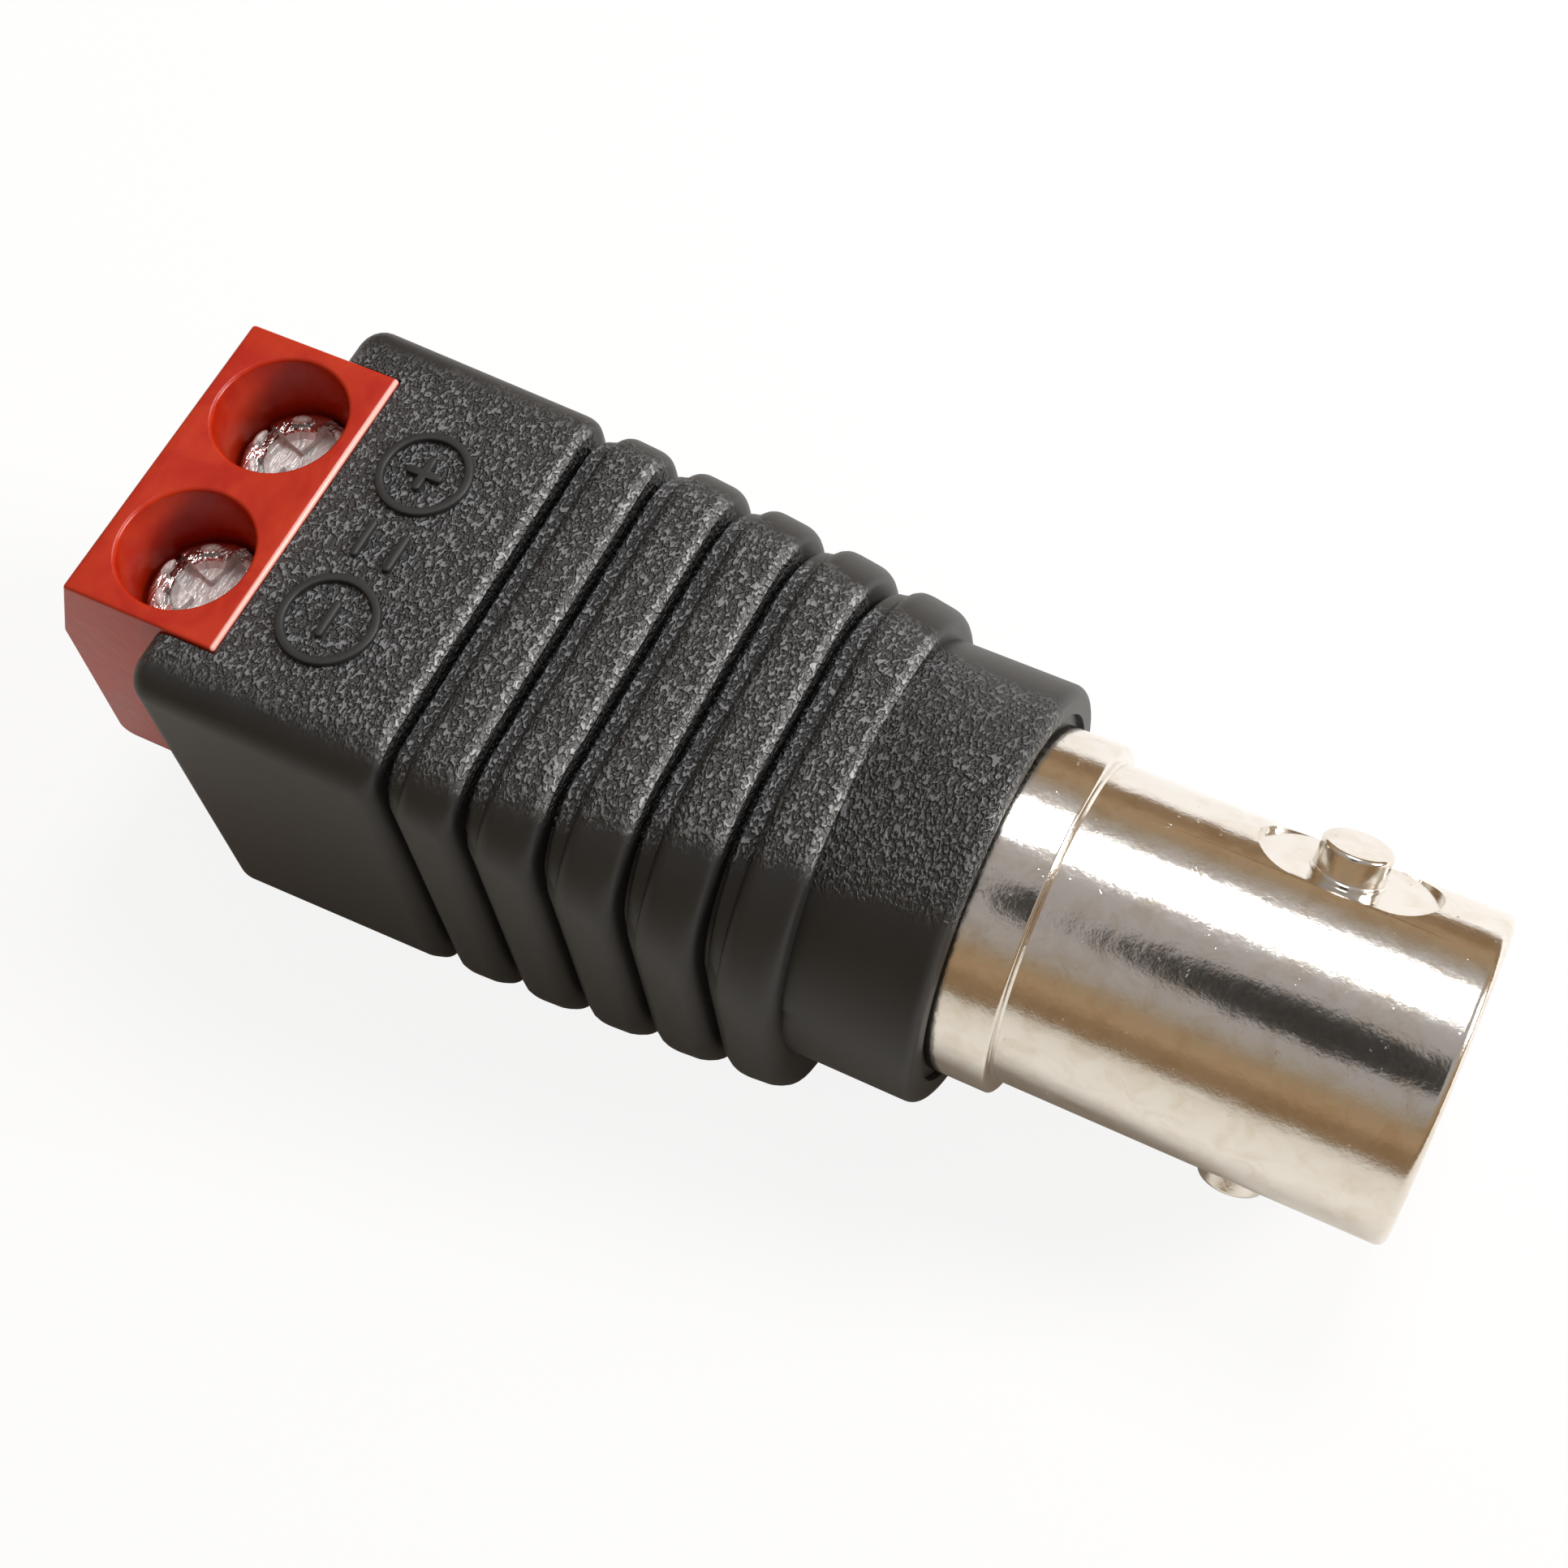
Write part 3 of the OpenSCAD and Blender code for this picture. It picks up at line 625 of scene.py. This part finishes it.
def rib_stations(x):
    """Stations of one groove, its low step and the curve up to the next crest."""
    start = x + GROOVE["width"] + 0.01
    flat = x + STEP["length"] - start
    edge = [STEP["round"] * (1 - math.cos(math.radians(18 * i))) for i in range(6)]
    rise = [flat + CREST_RISE * (1 - math.cos(math.radians(9 * i))) for i in range(11)]
    floor = [(x + 0.01, GROOVE["top"], GROOVE["side"]), (start - 0.01, GROOVE["top"], GROOVE["side"])]
    ledge = [(start + past,
              swell(past - flat, CREST_RISE, STEP["top"]) + round_off(STEP["round"] - past, STEP["round"]),
              swell(past, CREST_RISE + flat, SIDE_ROUND)) for past in edge + rise]
    return crest_end(x) + floor + ledge


stations = edge_in(body_end, END_ROUND)
for number in range(rib_count):
    stations += rib_stations(rib_start + number * rib_pitch)
stations += crest_end(collar_back)
print(len(stations), "stations of", len(body_ring(*stations[0])), "points")

# %% [markdown]
# The collar is round, so it is turned and joined to the loft. The block's pocket and the seat of
# the jack are cut out of both. The pocket is a hair wider than the block, because moulded parts
# shrink away from each other, and that hair is the thin dark line round the red top.

# %% Overmoulded body
COLLAR_RADIUS = 6.4
COLLAR_ROUND = 0.35
FLANGE_RADIUS = 5.275
TAIL_RADIUS = 4.2
FLANGE_HIDDEN = 1.06
RECESS = {"radius": 5.625, "depth": 0.2}
POCKET_GAP = 0.05


def block_outline(gap=0.0):
    """The terminal block seen from the side, as (x, z) points, grown by a gap."""
    top_back = block_back - 1.15 + gap
    top_front = block_back - 1.15 - 5.14
    shoulder = block_top - 3.1
    foot = 0.5
    edge = 0.15
    points = arc((top_front + edge, block_top - edge), edge, 170, 90)
    points += arc((top_back - edge, block_top - edge), edge, 90, 10)
    points += [(block_back + gap, shoulder), (block_back + gap, block_low - gap)]
    points += arc((block_front + foot, block_low + foot - gap), foot, 270, 180, 8)
    points += [(top_front - 1.15, shoulder)]
    return points


def overmoulding():
    ribbed = skin([body_ring(*station) for station in stations])
    root = collar_back - 1
    collar = [(root, 0), (root, COLLAR_RADIUS - 0.5), (collar_back, COLLAR_RADIUS)]
    collar += arc((collar_front - COLLAR_ROUND, COLLAR_RADIUS - COLLAR_ROUND), COLLAR_ROUND, 90, 0, 8)
    collar += [(collar_front, 0)]
    whole = join(ribbed, turned(collar, 144))
    flange_back = collar_front - FLANGE_HIDDEN
    recess = collar_front - RECESS["depth"]
    seat = [(shell_back, 0), (shell_back, TAIL_RADIUS), (flange_back, TAIL_RADIUS),
            (flange_back, FLANGE_RADIUS), (recess, FLANGE_RADIUS), (recess, RECESS["radius"]),
            (collar_front + 1, RECESS["radius"]), (collar_front + 1, 0)]
    pocket = slab(block_outline(POCKET_GAP), 2 * (block_half + POCKET_GAP))
    above = block((block_back - 1.5, -block_half - POCKET_GAP, block_top - 0.6),
                  (block_back - 1.15 + POCKET_GAP, block_half + POCKET_GAP, block_top + 1))
    return cut(whole, turned(seat, 144), pocket, above)


body = piece("overmoulded_body", overmoulding(), "adapter", "black_moulding", black_moulding,
             32.0, ["moulded_body"])

# %% [markdown]
# The poles are told apart by raised signs that the mould leaves on the top: a plus and a minus, each
# in a ring, and two short bars between them. They are beads a quarter of a millimetre wide. A ring
# is a small profile spun once, and a bar is a block whose upright edges are bevelled until its ends
# are round.

# %% Polarity signs
BEAD = {"half": 0.13, "high": 0.17, "sunk": 0.06, "edge": 0.05}
RING_RADIUS = 1.31
ARM_HALF = 0.6
PLUS_AT = (-29.59, 2.46)
MINUS_AT = (-29.57, -2.87)
BAR_PLACES = ((-30.06, -0.145, 0.655), (-28.92, -0.225, 0.645))


def bead_ring(x, y, radius):
    inner, outer, edge = radius - BEAD["half"], radius + BEAD["half"], BEAD["edge"]
    low, top = half_height - BEAD["sunk"], half_height + BEAD["high"]
    profile = [(inner, low), (outer, low)] + arc((outer - edge, top - edge), edge, 0, 90, 3)
    return bored(profile + arc((inner + edge, top - edge), edge, 90, 180, 3), x, y)


def bead_bar(x, y, half_x, half_y):
    bar = block((x - half_x, y - half_y, half_height - BEAD["sunk"]),
                (x + half_x, y + half_y, half_height + BEAD["high"]))
    upright = [e for e in bar.edges if abs(e.verts[0].co.z - e.verts[1].co.z) > 0.1]
    bmesh.ops.bevel(bar, geom=upright, offset=BEAD["half"] * 0.96, offset_type="OFFSET", segments=5,
                    profile=0.5, affect="EDGES", material=-1)
    top = half_height + BEAD["high"] - 0.001
    rim = [e for e in bar.edges if min(v.co.z for v in e.verts) > top]
    bmesh.ops.bevel(bar, geom=rim, offset=BEAD["edge"], offset_type="OFFSET", segments=2,
                    profile=0.5, affect="EDGES", material=-1)
    return tidy(bar)


def signs():
    half = BEAD["half"]
    beads = [bead_ring(*PLUS_AT, RING_RADIUS), bead_ring(*MINUS_AT, RING_RADIUS + 0.06),
             join(bead_bar(*PLUS_AT, ARM_HALF, half), bead_bar(*PLUS_AT, half, ARM_HALF)),
             bead_bar(*MINUS_AT, half, ARM_HALF + 0.02)]
    beads += [bead_bar(x, y, half, length) for x, y, length in BAR_PLACES]
    return gathered(beads)


polarity_signs = piece("polarity_signs", signs(), "adapter", "black_moulding", black_smooth, 40.0)

# %% [markdown]
# The terminal block is a glossy red polyamide. It is the one saturated colour on the part, so the
# finish keeps it deep: most of what looks pale on it is reflection. A faint flow pattern changes
# its shade, and a very shallow waviness keeps the reflections from being perfect.

# %% Finish of the red block
RED_DEEP = rgb(0.38, 0.012, 0.002)
# Painted highlight along the top's back edge against the moulding
RED_EDGE_HIGHLIGHT = rgb(0.80, 0.50, 0.43)  # the top's edge against the moulding
RED_BRIGHT = rgb(0.45, 0.026, 0.004)


def red_finish():
    finish = new_finish("red_housing")
    place = finish.place()
    flow = finish.noise(place, 0.55, 3.0, 0.55, 0.8)
    waves = finish.noise(place, 1.6, 2.0)
    skin_grain = finish.noise(place, 14.0, 2.0)
    colour = finish.mix(finish.between(flow, 0.32, 0.68), RED_DEEP, RED_BRIGHT)
    x, y, z = finish.axes(place)
    edge = block_back - 1.15
    # A pale line painted along the top's back edge stands for its highlight
    edge_highlight = finish.between(x, edge - 0.14, edge - 0.06)
    edge_highlight = edge_highlight * finish.between(z, block_top - 0.16, block_top - 0.08)
    colour = finish.mix(edge_highlight * 0.85, colour, RED_EDGE_HIGHLIGHT)
    normal = finish.bump(skin_grain, 0.0012, finish.bump(waves, 0.02))
    return finish.surface(Base_Color=colour, Roughness=0.24 + flow * 0.12, Normal=normal,
                          Specular_IOR_Level=0.42)


red_housing = red_finish()
print("red from", RED_DEEP[:3], "to", RED_BRIGHT[:3])

# %% [markdown]
# The block is an outline with a width. Each pole has a stepped hole from above: a wide well for the
# screwdriver, a shelf that the screw's head stands on and a window for its thread. Behind the shelf
# lies the pocket of the clamp cage, and a flared wire entry leads into it from the front. All of
# these are solids of their own, and one Boolean cut takes them out together.

# %% Terminal block
WELL = {"radius": 2.01, "rim": 0.13, "shelf": 3.3, "window": 1.6, "ceiling": 2.95}
CAGE_ROOM = {"half_x": 1.75, "half_y": 2.05, "low": -2.56}
BAR_ROOM = {"front": -36.77, "back": -31.72, "half_y": 1.2, "low": -0.25, "high": 0.45}
LEG_ROOM = {"front": -32.42, "pin_half": 0.55}
ENTRY = {"half": 1.5, "low": -2.06, "high": -0.20, "flare": 0.3, "lip": 0.25}
SIDE_BEVEL = 0.1


def well_hole(y):
    rim = WELL["rim"]
    profile = [(0, WELL["ceiling"] - 0.01), (WELL["window"], WELL["ceiling"] - 0.01),
               (WELL["window"], WELL["shelf"]), (WELL["radius"], WELL["shelf"])]
    profile += arc((WELL["radius"] + rim, block_top - rim), rim, 180, 90, 8)
    profile += [(WELL["radius"] + rim, block_top + 1), (0, block_top + 1)]
    return bored(profile, well_x, y, 96)


def wire_entry(y):
    flare, lip = ENTRY["flare"], ENTRY["lip"]
    rings = []
    for x, grow in ((block_front - 1, flare), (block_front + lip, flare),
                    (block_front + lip + flare, 0.0), (well_x, 0.0)):
        half, low, high = ENTRY["half"] + grow, ENTRY["low"] - grow, ENTRY["high"] + grow
        rings.append([(x, y + half, high), (x, y - half, high), (x, y - half, low), (x, y + half, low)])
    return skin(rings)


def clamp_rooms(y):
    """Room for a cage, its contact bar, the bar's leg and the pin below it."""
    half, bar, pin = CAGE_ROOM["half_y"], BAR_ROOM["half_y"], LEG_ROOM["pin_half"]
    foot = block_low + 0.3
    return [block((well_x - CAGE_ROOM["half_x"], y - half, CAGE_ROOM["low"]),
                  (well_x + CAGE_ROOM["half_x"], y + half, WELL["ceiling"])),
            block((BAR_ROOM["front"], y - bar, BAR_ROOM["low"]),
                  (BAR_ROOM["back"], y + bar, BAR_ROOM["high"])),
            block((LEG_ROOM["front"], y - bar, foot), (BAR_ROOM["back"], y + bar, 0.0)),
            block((LEG_ROOM["front"], y - pin, block_low - 1), (BAR_ROOM["back"], y + pin, foot + 0.1))]


def terminal_block():
    shape = slab(block_outline(), 2 * block_half)
    flanks = [f for f in shape.faces if abs(f.normal.y) > 0.9]
    rim = list({edge for face in flanks for edge in face.edges})
    bmesh.ops.bevel(shape, geom=rim, offset=SIDE_BEVEL, offset_type="OFFSET", segments=3,
                    profile=0.5, affect="EDGES", material=-1)
    tools = []
    for y in (pole_y, -pole_y):
        tools += [well_hole(y), wire_entry(y), *clamp_rooms(y)]
    return cut(shape, *tools)


block_piece = piece("terminal_block", terminal_block(), "adapter", "red_housing", red_housing,
                    32.0, ["terminal_housing"])

# %% [markdown]
# Three plated metals show: the nickel of the bayonet shell, the bright zinc of the screws and the
# tin of the parts inside. They differ in colour, in how sharp they mirror and in how the surface is
# worn, so one function makes them all. Long waves bend the reflections, pits are a noise that is
# cut off high, and stains pull the colour a little.

# %% Finishes of the plated metals
def metal_finish(name, bright, stained, roughness, waves, pits, stretch=(1, 1, 1)):
    finish = new_finish(name)
    place = finish.stretched(finish.place(), stretch)
    stain = finish.noise(place, 1.1, 4.0, 0.6, 0.6)
    fine = finish.noise(place, 11.0, 3.0, 0.6)
    swirl = finish.noise(place, 1.7, 3.0, 0.5)
    hollows = finish.between(finish.noise(place, 3.4, 3.0, 0.6), 0.68, 0.80)
    colour = finish.mix(finish.between(stain, 0.42, 0.72), bright, stained)
    normal = finish.bump(swirl, waves)
    normal = finish.bump(fine, pits * 0.25, normal)
    normal = finish.bump(1 - hollows, pits, normal)
    rough = roughness + fine * 0.10 + hollows * 0.15
    return finish.surface(Base_Color=colour, Metallic=1.0, Roughness=rough, Normal=normal)


nickel = metal_finish("plated_shell", rgb(0.80, 0.775, 0.73), rgb(0.72, 0.67, 0.59), 0.10, 0.012, 0.010)
cage_steel = metal_finish("cage_steel", rgb(0.63, 0.62, 0.59), rgb(0.50, 0.48, 0.44), 0.30, 0.01, 0.006,
                          (0.3, 1, 1))
tin = metal_finish("tinned_brass", rgb(0.70, 0.67, 0.58), rgb(0.58, 0.52, 0.40), 0.28, 0.02, 0.006)
gilt = metal_finish("gilt_contact", rgb(0.80, 0.58, 0.24), rgb(0.66, 0.44, 0.17), 0.18, 0.01, 0.004,
                    (0.4, 1, 1))
print("plated metals are ready")

# %% [markdown]
# The bayonet shell is turned from bar: barrel, flange and the tail that the moulding holds. On the
# real one each lug stands on a small milled flat. So the profile is spun once about X, two flats
# with round ends are cut off the barrel, and the lugs are spun about their own axes and joined on.
# The rounded mouth matters most, because its edge catches the light.

# %% Bayonet shell
BARREL = {"outer": 4.825, "bore": 4.075, "mouth": 0.28, "flange_x": -8.5, "edge": 0.12}
FLOOR = {"plane_x": -5.5, "seat_x": -6.7, "dielectric": 2.425, "tail_bore": 3.35}
TAIL = {"neck_x": shell_back + 0.5, "neck": 3.8, "key_half": 0.4, "key_deep": 0.35}
LUG = {"x": -1.6, "radius": 1.0, "tip": 5.5, "turn": -40, "shoulder": 0.07}
LUG_FLAT = {"z": 4.6, "length": 5.2}


def shell_profile():
    """The shell's wall as (x, radius) points, from the tail's end round the outside to the bore."""
    flange_back = collar_front - FLANGE_HIDDEN
    neck_x, edge, mouth_round = TAIL["neck_x"], BARREL["edge"], BARREL["mouth"]
    points = [(shell_back, TAIL["neck"]), (neck_x, TAIL["neck"]), (neck_x, TAIL_RADIUS)]
    for key in (1, 2):
        x = neck_x + key * (flange_back - neck_x) / 3
        deep = TAIL_RADIUS - TAIL["key_deep"]
        points += [(x - TAIL["key_half"], TAIL_RADIUS), (x - TAIL["key_half"], deep),
                   (x + TAIL["key_half"], deep), (x + TAIL["key_half"], TAIL_RADIUS)]
    points += [(flange_back, TAIL_RADIUS), (flange_back, FLANGE_RADIUS)]
    points += arc((BARREL["flange_x"] - edge, FLANGE_RADIUS - edge), edge, 90, 0, 4)
    points += [(BARREL["flange_x"], BARREL["outer"] + 0.06), (BARREL["flange_x"] + 0.06, BARREL["outer"])]
    points += arc((mouth - mouth_round, BARREL["outer"] - mouth_round), mouth_round, 90, 0, 8)
    points += arc((mouth - mouth_round, BARREL["bore"] + mouth_round), mouth_round, 0, -90, 8)
    points += [(FLOOR["plane_x"], BARREL["bore"]), (FLOOR["plane_x"], FLOOR["dielectric"]),
               (FLOOR["seat_x"], FLOOR["dielectric"]), (FLOOR["seat_x"], FLOOR["tail_bore"]),
               (shell_back, FLOOR["tail_bore"])]
    return points


def at_lug(shape, side):
    """Turns a shape that stands on +Z to one of the two lugs."""
    turn = Matrix.Rotation(math.radians(side + LUG["turn"]), 3, "X")
    bmesh.ops.rotate(shape, cent=(0, 0, 0), matrix=turn, verts=shape.verts)
    return shape


def lug_flat(side):
    half = math.sqrt(BARREL["outer"] ** 2 - LUG_FLAT["z"] ** 2)
    length = LUG_FLAT["length"] / 2
    shape = block((LUG["x"] - length, -half, LUG_FLAT["z"]), (LUG["x"] + length, half, 9))
    upright = [e for e in shape.edges if abs(e.verts[0].co.z - e.verts[1].co.z) > 1]
    bmesh.ops.bevel(shape, geom=upright, offset=half * 0.98, offset_type="OFFSET", segments=10,
                    profile=0.5, affect="EDGES", material=-1)
    return at_lug(tidy(shape), side)


def lug(side):
    radius, shoulder, tip, edge = LUG["radius"], LUG["shoulder"], LUG["tip"], BARREL["edge"]
    root = (BARREL["bore"] + LUG_FLAT["z"]) / 2
    profile = [(0, root), (radius + shoulder, root), (radius + shoulder, LUG_FLAT["z"] + 0.05)]
    profile += arc((radius + shoulder, LUG_FLAT["z"] + 0.05 + shoulder), shoulder, 270, 180, 5)
    profile += arc((radius - edge, tip - edge), edge, 0, 90, 4) + [(0, tip)]
    return at_lug(bored(profile, LUG["x"], 0, 64), side)


def bayonet_shell():
    shape = turned(shell_profile(), 160)
    shape = cut(shape, lug_flat(0), lug_flat(180))
    return join(shape, lug(0), lug(180))


shell = piece("bayonet_shell", bayonet_shell(), "adapter", "plated_shell", nickel, 30.0, ["jack_shell"])

# %% [markdown]
# A clamp screw has a low head with a rounded rim and a cross slot, which years of screwdrivers have
# burred: where a slot meets the rim, a little metal stands up and catches the light. The head and a
# threaded shank are one spun profile. The slots are cut, and the burrs are small flattened spheres.

# %% Clamp screws
HEAD = {"radius": 1.85, "low": 3.35, "round": 0.34, "slot_half": 0.35, "slot_deep": 0.5,
        "turn": 74, "low_by": 0.22}
CONE = {"top": 1.12, "low": 0.95, "rise": 0.22}
THREAD = {"radius": 1.5, "root": 1.22, "pitch": 0.5, "tip": 0.45}
SCREW_POLISHED = rgb(0.74, 0.73, 0.71)
SCREW_GREY = rgb(0.62, 0.62, 0.60)
SCREW_WHITE = rgb(0.92, 0.92, 0.90)
BURRS = ((1.42, 58), (1.48, 118), (1.52, 172), (1.40, 214))
BURR_SIZE = (0.14, 0.33, 0.13)
NICK = {"inside": 0.24, "half_x": 0.07, "half_y": 0.3, "deep": 0.3}  # the dent on a burr's inner side


screw_top = head_top - HEAD["low_by"]


def screw_finish():
    """Polished on the rim, which mirrors the red well, and torn dull by the driver inside."""
    finish = new_finish("screw_steel")
    place = finish.place()
    x, y, z = finish.axes(place)
    across, aside = x - well_x, abs(y) - pole_y
    radius = (across * across + aside * aside).maths("SQRT")
    deep = 1 - finish.between(z, screw_top - 0.10, screw_top - 0.04)
    inside = (1 - finish.between(radius, 1.4, 1.5)) * deep
    torn = (inside + finish.between(z, screw_top, screw_top + 0.02)).clamped()
    streaks = finish.noise(finish.stretched(place, (5.0, 1.3, 1.3)), 1.0, 3.0, 0.6, 0.8)
    tears = finish.noise(place, 2.6, 3.0, 0.6)
    dull = finish.mix(finish.between(streaks, 0.35, 0.65), SCREW_GREY, SCREW_WHITE)
    colour = finish.mix(torn, SCREW_POLISHED, dull)
    normal = finish.bump(streaks, 0.10, finish.bump(tears, 0.05))
    return finish.surface(Base_Color=colour, Metallic=1 - torn * 0.8, Roughness=0.10 + torn * 0.22,
                          Normal=normal)


def turned_about(shape, y, degrees):
    turn = Matrix.Rotation(math.radians(degrees), 3, "Z")
    bmesh.ops.rotate(shape, cent=(well_x, y, 0), matrix=turn, verts=shape.verts)
    return shape


def screw_blank(y):
    """Head and shank in one profile of (radius, z) points."""
    radius, edge, low = HEAD["radius"], HEAD["round"], HEAD["low"]
    profile = [(0, THREAD["tip"]), (THREAD["root"], THREAD["tip"])]
    z = THREAD["tip"] + 0.1
    while z + THREAD["pitch"] < low:
        profile += [(THREAD["root"], z), (THREAD["radius"], z + 0.2), (THREAD["radius"], z + 0.26)]
        z += THREAD["pitch"]
    profile += [(THREAD["root"], z), (THREAD["root"], low), (radius - 0.08, low), (radius, low + 0.08)]
    profile += arc((radius - edge, screw_top - edge), edge, 0, 90, 8) + [(0, screw_top)]
    return bored(profile, well_x, y, 96)


def clamp_screw(y):
    floor = screw_top - HEAD["slot_deep"]
    cuts = []
    for turn in (HEAD["turn"], HEAD["turn"] + 90):
        slot = block((well_x - 3, y - HEAD["slot_half"], floor), (well_x + 3, y + HEAD["slot_half"], 9))
        cuts.append(turned_about(slot, y, turn))
    for radius, degrees in BURRS:
        x = well_x + radius - NICK["inside"]
        nick = block((x - NICK["half_x"], y - NICK["half_y"], screw_top - NICK["deep"]),
                     (x + NICK["half_x"], y + NICK["half_y"], 9))
        cuts.append(turned_about(nick, y, degrees))
    cone_low = floor + CONE["rise"]
    cone = [(0, cone_low), (CONE["low"], cone_low), (CONE["top"], screw_top + 0.001),
            (CONE["top"], screw_top + 1), (0, screw_top + 1)]
    shape = cut(screw_blank(y), *cuts, bored(cone, well_x, y, 48))
    burrs = []
    for radius, degrees in BURRS:
        burr = bmesh.new()
        bmesh.ops.create_uvsphere(burr, u_segments=16, v_segments=10, radius=1.0)
        bmesh.ops.scale(burr, vec=BURR_SIZE, verts=burr.verts)
        bmesh.ops.translate(burr, vec=(well_x + radius, y, screw_top - 0.02), verts=burr.verts)
        burrs.append(turned_about(burr, y, degrees))
    return gathered([shape, *burrs])


zinc = screw_finish()
for pole, y in (("positive", pole_y), ("negative", -pole_y)):
    piece(f"screw_{pole}", clamp_screw(y), f"{pole}_screw", "screw_steel", zinc, 35.0,
          [f"clamp_screw_{pole}"])

# %% [markdown]
# The rest keeps its CAD shape, because those shapes are right: cages, contact bars, insulators,
# contact, ring, tag and leads. Each gets a finish of its own kind. Plastics differ in colour,
# sheen and the fineness of their surface, so one function makes the three of them.

# %% Finishes of the parts inside
def plastic_finish(name, deep, pale, roughness, scale):
    finish = new_finish(name)
    place = finish.place()
    cloud = finish.noise(place, 0.8, 3.0)
    grain = finish.noise(place, scale, 2.0)
    colour = finish.mix(finish.between(cloud, 0.35, 0.65), deep, pale)
    normal = finish.bump(grain, 0.003)
    return finish.surface(Base_Color=colour, Roughness=roughness + cloud * 0.1, Normal=normal)


insulator = plastic_finish("white_insulator", rgb(0.76, 0.74, 0.67), rgb(0.84, 0.82, 0.77), 0.35, 9.0)
red_jacket = plastic_finish("red_insulation", rgb(0.44, 0.022, 0.015), rgb(0.54, 0.035, 0.022), 0.32, 12.0)
black_jacket = plastic_finish("black_insulation", rgb(0.022, 0.022, 0.022), rgb(0.038, 0.038, 0.038),
                              0.34, 12.0)
INSIDE = {"clamp_cage_positive": cage_steel, "clamp_cage_negative": cage_steel,
          "contact_bar_positive": tin, "contact_bar_negative": tin, "retaining_ring": tin,
          "earth_tag": tin, "jack_insulator": insulator, "rear_insulator": insulator,
          "centre_contact": gilt, "signal_lead": red_jacket, "earth_lead": black_jacket}
for name, finish in INSIDE.items():
    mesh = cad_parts[name].data
    mesh.materials.clear()
    mesh.materials.append(finish)
    print(name, "is finished in", finish.name)
